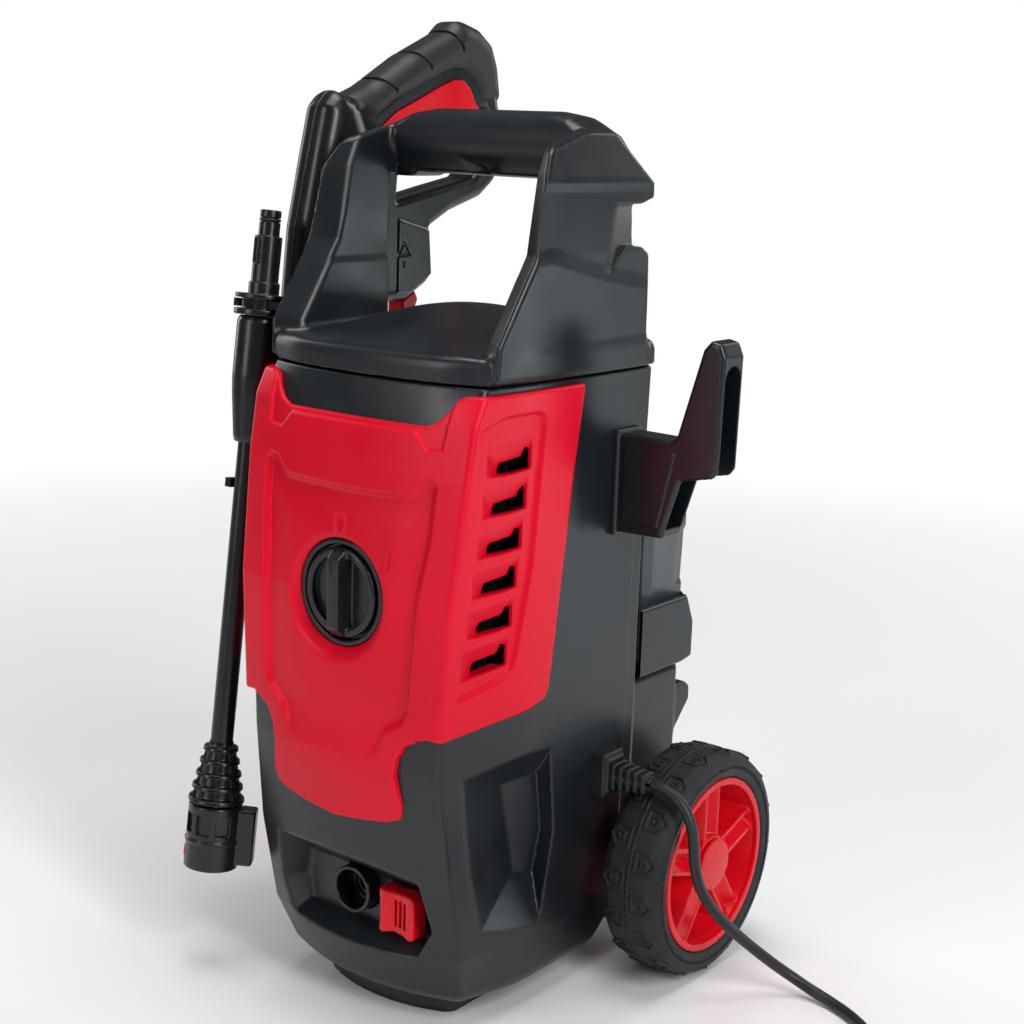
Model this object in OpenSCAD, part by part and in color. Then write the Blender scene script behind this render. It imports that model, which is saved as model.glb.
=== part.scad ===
// Upright pressure washer on two wheels, with its spray gun, lance and power cord.
// Millimetres, +Z up, the front faces -Y. The origin is on the floor under the middle.

/* [Casing] */
// Height of the seam between the casing and the top cover
seam_z = 345; // [342:1:348]
// Wall thickness of the moulded shells
wall = 3; // [2.6:0.1:3.4]
// How far the red fascia stands proud of the casing
fascia_t = 4; // [3:0.1:4.5]
// Where the front and rear casings meet
split_y = 38; // [36:1:40]
// Number of cooling louvres on each side
louvre_count = 6; // [3:1:6]

/* [Handle] */
// Height of the top of the carrying handle
handle_top = 479; // [474:1:482]
// Diameter of the handle's grip bar
grip_d = 36; // [32:1:38]
// Width between the handle's two legs
handle_gap = 124; // [116:1:126]

/* [Wheels] */
// Outer diameter of the tyres
wheel_d = 130; // [126:1:130]
// Width of each tyre
tyre_w = 38; // [34:1:38]
// Distance between the outer faces of the two tyres
track_w = 250; // [246:1:256]
// Axle diameter
axle_d = 12; // [10:1:14]
// Distance of the axle behind the origin
axle_y = 63; // [60:1:64]

/* [Controls] */
// Height of the switch knob's axis
knob_z = 235; // [232:1:238]
// Diameter of the switch knob
knob_d = 49; // [44:1:50]
// Height of the hose outlet's axis
outlet_z = 67; // [65:1:69]
// Bore of the hose outlet
outlet_bore = 21.4; // [20:0.2:22]

/* [Lance and gun] */
// Diameter of the lance tube
lance_d = 12.5; // [11:0.5:13]
// Diameter of the nozzle head
nozzle_d = 30; // [28:1:30]
// Forward lean of the stored lance, in degrees
lance_lean = 7.3; // [7:0.1:7.6]
// Lean of the stored gun, in degrees
gun_lean = 11.2; // [11:0.1:11.4]
// Width of the gun's body
gun_w = 26; // [24:1:27]

/* [Cord] */
// Diameter of the power cord
cord_d = 6.2; // [6:0.1:6.4]
// Diameter of the stored coil at the middle of its turns
coil_mid_d = 74; // [70:1:76]
// Number of turns side by side in the coil
coil_wide = 5; // [4:1:5]
// Number of layers in the coil
coil_high = 4; // [3:1:4]

/* [Hidden] */

BLACK = [0.13, 0.14, 0.16];
SOFT_BLACK = [0.08, 0.08, 0.09];
RED = [0.80, 0.05, 0.12];
STEEL = [0.70, 0.71, 0.73];
ALUMINIUM = [0.62, 0.64, 0.66];
BRASS = [0.72, 0.58, 0.28];
COPPER = [0.72, 0.42, 0.24];
CLEAR_GREY = [0.30, 0.33, 0.34];

e = 0.5; // overshoot of a cut past the face it opens
gap = 0.3; // air between pieces of different bodies
fit = 0.05; // radial clearance of a running fit

// Plan of the casing at each height:
// height, front middle, front panel x y, corner x y, side x y, back
CASING = [
    [12, -96, 40, -90, 58, -83, 69, -45, 24],
    [45, -108, 46, -103, 65.5, -96, 73, -50, 56],
    [95, -117, 48, -112, 66, -106.5, 74, -52, 56],
    [150, -120, 50, -117, 63.5, -114, 75, -55, 56],
    [234, -119, 50, -116, 68, -113, 75, -50, 56],
    [300, -111, 50, -108.5, 70.5, -105, 75, -48, 56],
    [328, -106.5, 50, -104, 71, -100, 75.6, -48, 56],
    [345, -103, 50, -99, 71, -91.5, 76, -48, 56]
];
BACK_CHAMFER = 8;

axle_r = axle_d / 2;
wheel_r = wheel_d / 2;
wheel_out = track_w / 2;
wheel_in = wheel_out - tyre_w;
rim_r = 50;
hub_r = 16;
spoke_count = 5;

motor_y = -25;
motor_r = 44;
shaft_r = 5;
piston_count = 3;
piston_ring_r = 18;
piston_r = 6;

outlet_x = -4;
recess_floor_y = -92;
dish_floor_y = -114.5;
dish_r = 36;
surface_y = -119;
shaft_hole_r = 4.3;

inlet_z = 98;
bulge_x = 70;
bulge_y = 100;
bulge_top = 165;
tray_x = 72;
tray_y = 125;
tray_top = 205;

// ---- General helpers ----

function reversed(list) = [for (i = [len(list) - 1:-1:0]) list[i]];
function flipped(points) = reversed([for (p = points) [-p[0], p[1]]]);
function casing_row(z) =
    [for (c = [0:8]) lookup(z, [for (r = CASING) [r[0], r[c]]])];

// Right half of the casing's plan, moved inwards by t
function half_plan(r, t) = [
    [r[2] - t, r[3] + t], [r[4] - t, r[5] + t], [r[6] - t, r[7]],
    [r[6] - t, r[8] - BACK_CHAMFER - t], [r[6] - BACK_CHAMFER - t, r[8] - t]
];
function plan(r, t) =
    concat([[0, r[1] + t]], half_plan(r, t), flipped(half_plan(r, t)));
function at_height(points, z) = [for (p = points) [p[0], p[1], z]];

// A solid through closed rings of points, lowest ring first
module loft(rings) {
    n = len(rings[0]);
    m = len(rings);
    points = [for (ring = rings) for (p = ring) p];
    sides = [for (j = [0:m - 2]) for (i = [0:n - 1]) for (half = [0, 1])
        let (a = j * n + i, b = j * n + (i + 1) % n, c = a + n, d = b + n)
        half == 0 ? [a, c, b] : [b, c, d]];
    bottom = [[for (i = [0:n - 1]) i]];
    top = [[for (i = [n - 1:-1:0]) (m - 1) * n + i]];
    polyhedron(points, concat(bottom, sides, top));
}

// The casing's outer form moved inwards by t, from z0 to z1
module casing_block(t, z0, z1) {
    inner = [for (r = CASING) if (r[0] > z0 + 1 && r[0] < z1 - 1) r[0]];
    levels = concat([z0], inner, [z1]);
    loft([for (z = levels) at_height(plan(casing_row(z), t), z)]);
}

// An outline in y and z, extruded from x0 to x1
module side_slab(points, x0, x1) {
    translate([x0, 0, 0]) rotate([90, 0, 90]) linear_extrude(x1 - x0) polygon(points);
}

// An outline in x and z, extruded from y0 to y1
module front_slab(points, y0, y1) {
    translate([0, y1, 0]) rotate([90, 0, 0]) linear_extrude(y1 - y0) polygon(points);
}

module box(low, high) {
    translate(low) cube(high - low);
}

// A round bar along X, from x0 to x1
module bar_x(r, x0, x1, y, z, fn = 48) {
    translate([x0, y, z]) rotate([0, 90, 0]) cylinder(h = x1 - x0, r = r, $fn = fn);
}

// A round bar along Y, from y0 to y1
module bar_y(r, y0, y1, x, z, fn = 48) {
    translate([x, y1, z]) rotate([90, 0, 0]) cylinder(h = y1 - y0, r = r, $fn = fn);
}

// A round bar along Z, from z0 to z1
module bar_z(r, z0, z1, x, y, fn = 48) {
    translate([x, y, z0]) cylinder(h = z1 - z0, r = r, $fn = fn);
}

module both_sides() {
    children();
    mirror([1, 0, 0]) children();
}

// ---- Casing ----

RECESS = [[-43, 92], [-53, 66], [-45, 40], [45, 40], [53, 63], [44, 90]];
RECESS_LINER = [[-45, 94.5], [-56, 66], [-47, 37.5], [47, 37.5], [56, 63], [46, 92.5]];

module louvre_cuts(y_grow) {
    for (i = [0:louvre_count - 1])
        both_sides()
            box([45, -95 - 2.6 * i - y_grow, 302 - 20 * i - y_grow],
                [90, -59 - 2.6 * i + y_grow, 316 - 20 * i + y_grow]);
}

module gland_hole() {
    bar_x(5, 60, 90, 17, 122);
}

module front_casing() {
    color(BLACK) difference() {
        union() {
            intersection() {
                difference() {
                    casing_block(0, 12, seam_z);
                    casing_block(wall, 12 + wall, seam_z + 1);
                }
                box([-100, -140, 0], [100, split_y, 360]);
            }
            intersection() {
                front_slab(RECESS_LINER, -130, recess_floor_y + wall);
                casing_block(0, 12, seam_z);
            }
        }
        front_slab(RECESS, -140, recess_floor_y);
        bar_y(13.1, -96, -85, outlet_x, outlet_z);
        box([16.5, -96, 57.5], [47, -85, 69.5]);
        bar_y(dish_r + 0.5, -130, -110, 0, knob_z);
        louvre_cuts(1);
        gland_hole();
    }
}

// Side outline of the lower rear casing, moved inwards by t
function bulge_outline(t) = [
    [split_y - 1, 28 + t], [62, 18 + t], [90 - t, 22 + t], [bulge_y - t, 34 + t],
    [bulge_y - t, bulge_top - t], [split_y - 1, bulge_top - t]
];
LIP = [[bulge_y - e, 150], [111, 150], [116, 146], [116, 138], [bulge_y - e, 120]];

module rear_casing() {
    color(BLACK) difference() {
        intersection() {
            union() {
                casing_block(0, 12, seam_z);
                side_slab(bulge_outline(0), -bulge_x, bulge_x);
                side_slab(LIP, -bulge_x + 2, bulge_x - 2);
                both_sides() bar_x(13, bulge_x - 4, wheel_in - 1, axle_y, wheel_r);
            }
            box([-100, split_y, 0], [100, 130, 360]);
        }
        casing_block(wall, 12 + wall, seam_z + 1);
        side_slab(bulge_outline(wall), -bulge_x + wall, bulge_x - wall);
        bar_x(axle_r + fit, -100, 100, axle_y, wheel_r);
        bar_y(9.1, 90, 120, 0, inlet_z);
        screw_places() {
            bar_y(screw_r + fit, 30, 60, 0, 0, 24);
            bar_y(screw_head_r + fit, screw_seat_y, 60, 0, 0, 24);
        }
    }
}

// Front outline of the fascia, one half
FASCIA_HALF = [
    [46, 325], [53, 328], [57, 333], [60, 339], [84, 341], [84, 177], [56, 172],
    [43, 163], [39, 146], [38, 122], [34, 118]
];
FASCIA_SIDE = [
    [-140, 100], [-100, 100], [-100, 176], [-44, 176], [-33, 180], [-8, 336],
    [-19, 341], [-140, 345]
];

module fascia() {
    color(RED) difference() {
        union() {
            intersection() {
                difference() {
                    casing_block(-fascia_t, 100, seam_z);
                    casing_block(-0.2, 99, seam_z + 1);
                }
                front_slab(concat(FASCIA_HALF, flipped(FASCIA_HALF)), -140, 0);
                side_slab(FASCIA_SIDE, -90, 90);
            }
            bar_y(dish_r, surface_y - fascia_t, dish_floor_y + 2.5, 0, knob_z, 64);
        }
        translate([0, dish_floor_y, knob_z]) rotate([90, 0, 0])
            cylinder(h = 20, r1 = 26, r2 = 48, $fn = 64);
        bar_y(shaft_hole_r, -120, -105, 0, knob_z);
        louvre_cuts(0);
    }
}

// ---- Top cover with the carrying handle ----

HANDLE_FRONT_HALF = [
    [77, seam_z + 1], [78, 407], [76, 442], [68, 466], [54, handle_top - 3],
    [40, handle_top], [0, handle_top]
];
HANDLE_SIDE = [
    [-91, seam_z + 1], [-90, 365], [-62, 407], [-55, 446], [-47, 462], [-24, handle_top],
    [4, handle_top], [42, 440], [42, 434], [27, 430], [29, 410], [37, 405], [40, seam_z + 1]
];

GRIP_Y = [-13, 24]; // front and back of the grip bar
LEFT_LEG_BACK = -12; // the left leg is cut short, which leaves room for the gun's guard

module handle_opening() {
    w = handle_gap / 2;
    bar_z0 = handle_top - grip_d;
    front_slab([[-w, 340], [w, 340], [w, 406], [w - 4, bar_z0 - 12], [w - 14, bar_z0],
        [-w + 14, bar_z0], [-w + 4, bar_z0 - 12], [-w, 406]], -120, 120);
}

module top_cover() {
    leg_x = handle_gap / 2;
    color(BLACK) difference() {
        union() {
            loft([
                at_height(plan(casing_row(seam_z), 0), seam_z),
                at_height(plan(casing_row(seam_z), 1), 359),
                at_height(plan(casing_row(seam_z), 22), 370),
                at_height(plan(casing_row(seam_z), 44), 375)
            ]);
            difference() {
                intersection() {
                    front_slab(concat(HANDLE_FRONT_HALF, flipped(HANDLE_FRONT_HALF)),
                        -120, 120);
                    side_slab(HANDLE_SIDE, -90, 90);
                }
                handle_opening();
                box([-leg_x, -120, 425], [leg_x, GRIP_Y[0], 500]);
                box([-leg_x, GRIP_Y[1], 420], [leg_x, 60, 500]);
                box([-80, LEFT_LEG_BACK, 362], [0.1 - leg_x, 60, 438]);
                box([-80, GRIP_Y[1] + 2, 362], [0.1 - leg_x, 60, 500]);
                both_sides() box([leg_x + 4, -50, 360], [leg_x + 11, 20, 440]);
            }
        }
        loft([
            at_height(plan(casing_row(seam_z), wall), seam_z - 1),
            at_height(plan(casing_row(seam_z), wall + 1), 357),
            at_height(plan(casing_row(seam_z), 24), 367),
            at_height(plan(casing_row(seam_z), 46), 372)
        ]);
    }
}

// ---- Base ----

module foot_outline(t) {
    intersection() {
        translate([0, 10]) circle(r = 95 - t, $fn = 96);
        translate([-62 + t, -100]) square([124 - 2 * t, 110 - t]);
    }
}

module base_plinth() {
    color(BLACK) translate([0, 0, 3]) linear_extrude(9) foot_outline(0);
}

module foot_pad() {
    color(SOFT_BLACK) linear_extrude(3) foot_outline(1.5);
}

// ---- Axle and wheels ----

module axle() {
    color(STEEL) bar_x(axle_r, -wheel_out + 3, wheel_out - 3, axle_y, wheel_r);
}

module axle_clips() {
    color(STEEL) both_sides() difference() {
        bar_x(10, wheel_out - 5.5, wheel_out - 4, axle_y, wheel_r);
        bar_x(axle_r, wheel_out - 7, wheel_out - 2, axle_y, wheel_r);
    }
}

// Revolves an outline of radius and x about the axle
module about_axle(fn) {
    translate([0, axle_y, wheel_r]) rotate([0, 90, 0]) rotate_extrude($fn = fn) children();
}

module tyre() {
    color(SOFT_BLACK) about_axle(96) polygon([
        [rim_r, wheel_in + 1], [wheel_r - 6, wheel_in], [wheel_r - 1.5, wheel_in + 2.5],
        [wheel_r, wheel_in + 7], [wheel_r, wheel_out - 7], [wheel_r - 1.5, wheel_out - 2.5],
        [wheel_r - 6, wheel_out], [rim_r, wheel_out - 1]
    ]);
}

module wheel_rim() {
    spoke_x0 = wheel_out - 13;
    spoke_x1 = wheel_out - 5;
    color(RED) difference() {
        union() {
            about_axle(96) polygon([
                [rim_r - 4, wheel_in + 3], [rim_r, wheel_in + 3], [rim_r, wheel_out - 1.5],
                [rim_r - 4, wheel_out - 2.5]
            ]);
            bar_x(hub_r, wheel_in + 1, wheel_out - 4, axle_y, wheel_r);
            translate([0, axle_y, wheel_r])
                for (i = [0:spoke_count - 1], side = [-1, 1])
                    rotate([i * 360 / spoke_count, 0, 0])
                        translate([0, side * 4.5, 0])
                            box([spoke_x0, -2.5, 12], [spoke_x1, 2.5, rim_r - 2]);
        }
        bar_x(axle_r + fit, wheel_in - 1, wheel_out - 6, axle_y, wheel_r);
        bar_x(12, wheel_out - 6, wheel_out, axle_y, wheel_r);
    }
}

module hub_cap() {
    color(RED) about_axle(64) polygon([
        [0, wheel_out - 2.6], [12.5, wheel_out - 2.6], [12.5, wheel_out - 4], [14.7, wheel_out - 4],
        [14.7, wheel_out - 2.2], [14, wheel_out - 1.5], [0, wheel_out - 1]
    ]);
}

module wheel_right_tyre() { tyre(); }
module wheel_right_rim() { wheel_rim(); }
module wheel_right_cap() { hub_cap(); }
module wheel_left_tyre() { mirror([1, 0, 0]) tyre(); }
module wheel_left_rim() { mirror([1, 0, 0]) wheel_rim(); }
module wheel_left_cap() { mirror([1, 0, 0]) hub_cap(); }

screw_r = 2;
screw_head_r = 3.6;
screw_seat_y = 55.5;

module screw_places() {
    both_sides() for (z = [225, 275, 325]) translate([58, 0, z]) children();
}

// Six screws that hold the rear casing to the front casing
module casing_screws() {
    color(STEEL) screw_places() {
        bar_y(screw_r, 42, screw_seat_y, 0, 0, 24);
        bar_y(screw_head_r, screw_seat_y, screw_seat_y + 2, 0, 0, 24);
    }
}

// ---- Controls ----

module switch_knob() {
    r = knob_d / 2;
    color(BLACK) union() {
        bar_y(r, dish_floor_y - 6.5, dish_floor_y - gap, 0, knob_z, 64);
        bar_y(r - 4, dish_floor_y - 7.5, dish_floor_y - 6.5, 0, knob_z, 64);
        box([-4.5, -127.5, knob_z - r + 2.5], [4.5, dish_floor_y - 7, knob_z + r - 2.5]);
        bar_y(4, dish_floor_y - e, -98, 0, knob_z, 32);
    }
}

module switch_block() {
    color(SOFT_BLACK) difference() {
        box([-18, dish_floor_y + 2.5, knob_z - 20], [18, -78, knob_z + 20]);
        bar_y(4 + fit, -120, -96, 0, knob_z, 32);
    }
}

module outlet_socket() {
    color(BLACK) difference() {
        bar_y(13, -101, -61.5, outlet_x, outlet_z, 64);
        bar_y(outlet_bore / 2, -102, -89, outlet_x, outlet_z, 64);
        bar_y(5, -95, -75, outlet_x, outlet_z, 32);
    }
}

BUTTON_X = 15;
BUTTON_W = 27;

module release_button() {
    color(RED) union() {
        difference() {
            box([BUTTON_X, -104, 51], [BUTTON_X + BUTTON_W, recess_floor_y - gap, 76]);
            for (i = [0:3])
                box([BUTTON_X + 12 + 3.4 * i, -106, 55], [BUTTON_X + 13.6 + 3.4 * i, -101, 72]);
        }
        box([19, recess_floor_y - 1, 59], [37, -84, 68]);
    }
}

// A tube of radius r along a path, with the given number of sides
function unit(v) = v / norm(v);
function tangent(path, i) =
    unit(path[min(i + 1, len(path) - 1)] - path[max(i - 1, 0)]);
function side_of(t) = abs(t[2]) > 0.95 ? unit(cross(t, [0, 1, 0])) : unit(cross(t, [0, 0, 1]));
function carried(path) = [for (i = 0, s = side_of(tangent(path, 0)); i < len(path);
    i = i + 1, s = i < len(path) ? unit(s - (s * tangent(path, i)) * tangent(path, i)) : s) s];

module swept_tube(path, r, sides) {
    frames = carried(path);
    rings = [for (i = [0:len(path) - 1])
        let (s = frames[i], u = cross(tangent(path, i), s))
        [for (k = [0:sides - 1])
            path[i] + r * (cos(360 * k / sides) * s + sin(360 * k / sides) * u)]];
    loft(rings);
}

// Ribbed baffles behind the louvres, which keep spray off the motor
module air_guides() {
    color(SOFT_BLACK) both_sides() {
        box([57, -90, 192], [58.5, -56, 326]);
        for (i = [0:louvre_count - 1])
            box([58, -88, 295 - 20 * i], [64, -60, 296.5 - 20 * i]);
    }
}

// ---- Water path ----

module inlet_connector() {
    color(BLACK) difference() {
        union() {
            bar_y(9, 13.2, bulge_y + 1, 0, inlet_z);
            bar_y(14, bulge_y, bulge_y + 3, 0, inlet_z, 64);
            bar_y(8, bulge_y + 2, 122, 0, inlet_z);
        }
        bar_y(5, 0, 130, 0, inlet_z);
    }
}

module inlet_filter() {
    color(STEEL) difference() {
        bar_y(4.9, 108, 121, 0, inlet_z, 32);
        bar_y(4, 109, 122, 0, inlet_z, 32);
    }
}

module pump_head() {
    color(ALUMINIUM) difference() {
        union() {
            bar_z(36, 56, 90, 0, motor_y, 64);
            for (i = [0:5])
                rotate_at_motor(i * 60) bar_z(4.5, 48, 90, 33, 0, 24);
        }
        bar_z(5, 70, 95, 0, motor_y, 32);
        bar_y(5, -70, motor_y, outlet_x, outlet_z, 32);
    }
}

module rotate_at_motor(angle) {
    translate([0, motor_y, 0]) rotate([0, 0, angle]) children();
}

module pump_body() {
    color(ALUMINIUM) difference() {
        bar_z(38, 90, 165, 0, motor_y, 72);
        bar_z(33, 128, 166, 0, motor_y, 64);
        for (i = [0:piston_count - 1])
            rotate_at_motor(i * 360 / piston_count + 90)
                bar_z(piston_r + fit, 96, 130, piston_ring_r, 0, 32);
        bar_y(5, motor_y + 22, 20, 0, inlet_z, 32);
    }
}

module pistons() {
    color(STEEL) for (i = [0:piston_count - 1])
        rotate_at_motor(i * 360 / piston_count + 90) {
            bar_z(piston_r, 106, 134.5, piston_ring_r, 0, 32);
            bar_z(piston_r + 2.5, 134.5, 137.5, piston_ring_r, 0, 32);
        }
}

module swash_plate() {
    color(STEEL) difference() {
        union() {
            bar_z(11, 144, 160, 0, motor_y);
            translate([0, motor_y, 142]) rotate([8, 0, 0])
                cylinder(h = 6, r = 27, $fn = 64);
        }
        bar_z(shaft_r, 120, 170, 0, motor_y, 32);
    }
}

// ---- Motor ----

module motor_can() {
    color(ALUMINIUM) difference() {
        bar_z(motor_r, 165, 290, 0, motor_y, 96);
        bar_z(motor_r - 2.5, 178, 279, 0, motor_y, 96);
        bar_z(11, 164, 180, 0, motor_y, 48);
        bar_z(11, 277, 292, 0, motor_y, 48);
    }
}

module motor_stator() {
    color(COPPER) difference() {
        bar_z(motor_r - 2.5, 192, 262, 0, motor_y, 96);
        bar_z(26.5, 190, 264, 0, motor_y, 64);
    }
}

module motor_rotor() {
    color(STEEL) {
        bar_z(25.7, 190, 264, 0, motor_y, 64);
        bar_z(shaft_r, 140, 306, 0, motor_y, 32);
    }
}

module motor_bearings() {
    color(STEEL) for (z = [168, 280]) difference() {
        bar_z(11, z, z + 9, 0, motor_y, 48);
        bar_z(shaft_r + 0.03, z - 1, z + 10, 0, motor_y, 32);
    }
}

module cooling_fan() {
    color(BLACK) difference() {
        union() {
            bar_z(9, 294, 306, 0, motor_y, 32);
            bar_z(38, 294, 296, 0, motor_y, 64);
            for (i = [0:8])
                rotate_at_motor(i * 40) box([8, -1, 295], [37, 1, 306]);
        }
        bar_z(shaft_r, 290, 310, 0, motor_y, 32);
    }
}

module motor_capacitor() {
    color(CLEAR_GREY) bar_z(12, 185, 240, 57, 6);
}

// ---- Power cord ----

GLAND = [17, 122]; // y and z of the cord's exit

module cable_gland() {
    color(SOFT_BLACK) difference() {
        union() {
            box([75, GLAND[0] - 9.5, GLAND[1] - 12.5], [82, GLAND[0] + 9.5, GLAND[1] + 12.5]);
            bar_x(4.9, 66, 76, GLAND[0], GLAND[1], 32);
        }
        bar_x(cord_d / 2, 60, 84, GLAND[0], GLAND[1], 32);
    }
}

module cord_relief() {
    rib_count = 5;
    length = 26;
    color(SOFT_BLACK) difference() {
        union() {
            bar_x(4.9, 82, 82 + length, GLAND[0], GLAND[1], 32);
            for (i = [0:rib_count - 1])
                bar_x(7.4 - 0.3 * i, 84.4 + 5 * i, 87.2 + 5 * i, GLAND[0], GLAND[1], 32);
        }
        bar_x(cord_d / 2, 80, 82 + length + 1, GLAND[0], GLAND[1], 32);
    }
}

COIL = [270, -30];
CORD_ROUTE = [
    [108, 17, 122], [112, 17, 121.9], [117, 17, 121], [123, 17, 118.5], [128, 17, 114.6],
    [132, 17, 109], [134.7, 17, 102.5], [136.3, 16.8, 94], [137.5, 17.2, 83],
    [139.5, 20.5, 70], [143, 27, 58], [147.5, 35, 47], [152.5, 44, 37], [158.5, 53, 27.5],
    [165.5, 61.5, 18.5], [174, 67.5, 11.5], [184.5, 70, 6.5], [197, 69, 3.9],
    [210, 64.5, 3.1], [222.5, 57, 3.1], [234, 47.5, 3.1], [245, 38, 3.1],
    [257, 29.5, 3.1], [270, 25.4, 3.1]
];
PLUG = [236, -85.8, 12]; // where the plug's body ends and its relief begins

module cord() {
    color(SOFT_BLACK) swept_tube(CORD_ROUTE, cord_d / 2, 8);
}

module cord_coil() {
    half = coil_wide * cord_d / 2;
    color(SOFT_BLACK) translate([COIL[0], COIL[1], 0]) rotate_extrude($fn = 72)
        translate([coil_mid_d / 2 - half, 0]) square([2 * half, coil_high * cord_d]);
}

module cord_plug() {
    color(SOFT_BLACK) translate(PLUG) union() {
        bar_x(12, -28, 0.5, 0, 0);
        rotate([0, 90, 0]) cylinder(h = 26, r1 = 7, r2 = 4.4, $fn = 48);
        for (side = [-1, 1]) bar_x(2, -47, -27, side * 9.5, 0, 24);
    }
}

// ---- Hooks, tray and bottle ----

HOOK = [
    [75, 260], [107, 259], [117, 291], [136, 295], [139, 299], [140, 358], [137, 365],
    [130, 366], [126.5, 360], [113, 313], [110, 311], [75.4, 311], [75, 300]
];
HOOK_HOLLOW = [
    [80, 264], [104.5, 263], [113, 294], [141, 299], [141, 353], [131, 360], [129, 357],
    [116, 308], [80, 307]
];

module side_hook() {
    color(BLACK) difference() {
        front_slab(HOOK, 14, 34);
        front_slab(HOOK_HOLLOW, 17, 35);
    }
}

module cable_hook() { side_hook(); }
module hose_hook() { mirror([1, 0, 0]) side_hook(); }

TRAY = [
    [56, bulge_top], [bulge_y, bulge_top], [118, 168], [tray_y, 178], [tray_y, 200],
    [tray_y - 6, tray_top], [56, tray_top]
];

module rear_tray() {
    color(BLACK) difference() {
        side_slab(TRAY, -tray_x, tray_x);
        both_sides() box([4, 60, 170], [68, tray_y - 4, 210]);
    }
}

BOTTLE_LOW = [[14, 72], [58, 72], [62, 78], [60, 110], [54, 116], [18, 116], [12, 110], [12, 78]];
BOTTLE_HIGH = [[12, 70], [60, 70], [64, 76], [62, 113], [56, 119], [16, 119], [10, 113], [10, 76]];

module detergent_bottle() {
    color(CLEAR_GREY) union() {
        loft([
            at_height(BOTTLE_LOW, 170 + gap),
            at_height(BOTTLE_HIGH, 256),
            at_height([for (p = BOTTLE_HIGH) [36, 94] + 0.72 * (p - [36, 94])], 268)
        ]);
        bar_z(13, 267, 274, 36, 94);
    }
}

module bottle_cap() {
    color(SOFT_BLACK) difference() {
        bar_z(16, 268.5, 286, 36, 94);
        bar_z(13.2, 268, 281, 36, 94);
    }
}

// ---- Lance, in its own frame: Z runs up the lance from the nozzle's mouth ----

LANCE = [-100, -113, 57];

module on_lance() {
    translate(LANCE) rotate([-lance_lean, 0, 0]) children();
}

module lance_spigot() {
    color(BLACK) on_lance() difference() {
        union() {
            cylinder_at(15, 309, 312.2);
            cylinder_at(11, 312, 318.2);
            cylinder_at(15, 318, 320.5);
            cylinder_at(7.4, 320, 352);
            cylinder_at(5.7, 351, 366);
            box([-1.5, -9, 338], [1.5, 9, 350]);
        }
        translate([0, 0, 359.7]) rotate_extrude($fn = 48) translate([4, 0]) square([4, 2.2]);
        cylinder_at(2.5, 300, 370);
    }
}

module cylinder_at(r, z0, z1, fn = 48) {
    translate([0, 0, z0]) cylinder(h = z1 - z0, r = r, $fn = fn);
}

module lance_seal() {
    color(SOFT_BLACK) on_lance() translate([0, 0, 360.8])
        rotate_extrude($fn = 48) translate([4.95, 0]) circle(r = 0.93, $fn = 24);
}

module lance_grip() {
    color(BLACK) on_lance() difference() {
        rotate_extrude($fn = 64) polygon([
            [0, 240], [7.6, 240], [8.4, 244], [12, 266], [12.8, 274], [12.8, 306], [11.8, 309], [0, 309]
        ]);
        cylinder_at(lance_d / 2, 239, 300);
    }
}

module lance_tube() {
    color(BLACK) on_lance() difference() {
        cylinder_at(lance_d / 2, 60, 300);
        cylinder_at(4, 59, 301);
    }
}

module nozzle_carrier() {
    rib_count = 5;
    color(BLACK) on_lance() difference() {
        union() {
            translate([0, 0, 37]) cylinder(h = 37, r1 = 14.2, r2 = 7.2, $fn = 64);
            for (i = [0:rib_count - 1]) {
                z = 38 + 7.4 * i;
                cylinder_at(15.6 - 1.55 * i, z, z + 2.6);
            }
        }
        cylinder_at(lance_d / 2, 60, 75);
        cylinder_at(3, 36, 61);
    }
}

module nozzle_head() {
    r = nozzle_d / 2;
    color(BLACK) on_lance() difference() {
        union() {
            cylinder_at(r, 0, 36.6, 64);
            rotate([0, 0, 37]) box([10, -6, 3], [23.5, 6, 35]);
        }
        cylinder_at(11, -1, 12, 48);
        cylinder_at(2.5, 10, 38, 32);
        for (a = [200, 245]) rotate([0, 0, a]) box([r - 2, -4, 19], [r + 2, 4, 31]);
        rotate([0, 0, 215]) box([r - 1.6, -5, 5.6], [r + 2, 5, 11.4]);
    }
}

module nozzle_mark() {
    r = nozzle_d / 2;
    color(RED) on_lance() intersection() {
        rotate([0, 0, 215]) box([r - 1.6, -5, 5.6], [r + 2, 5, 11.4]);
        cylinder_at(r + 0.4, 4, 12, 64);
    }
}

module lance_holder() {
    color(BLACK) on_lance() difference() {
        union() {
            box([-15, -7, 313], [24, 20, 317.4]);
            box([14, 13, 214], [20, 20, 317]);
            box([-11, -5, 214], [20, 12, 219]);
            box([14, 11, 214], [20, 20, 219]);
        }
        cylinder_at(11 + gap, 300, 330);
        box([-11 - gap, -20, 300], [11 + gap, 0, 330]);
        cylinder_at(lance_d / 2 + gap, 200, 230);
        box([-lance_d / 2 - gap, -20, 200], [lance_d / 2 + gap, 0, 230]);
    }
}

// ---- Gun ----

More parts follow.
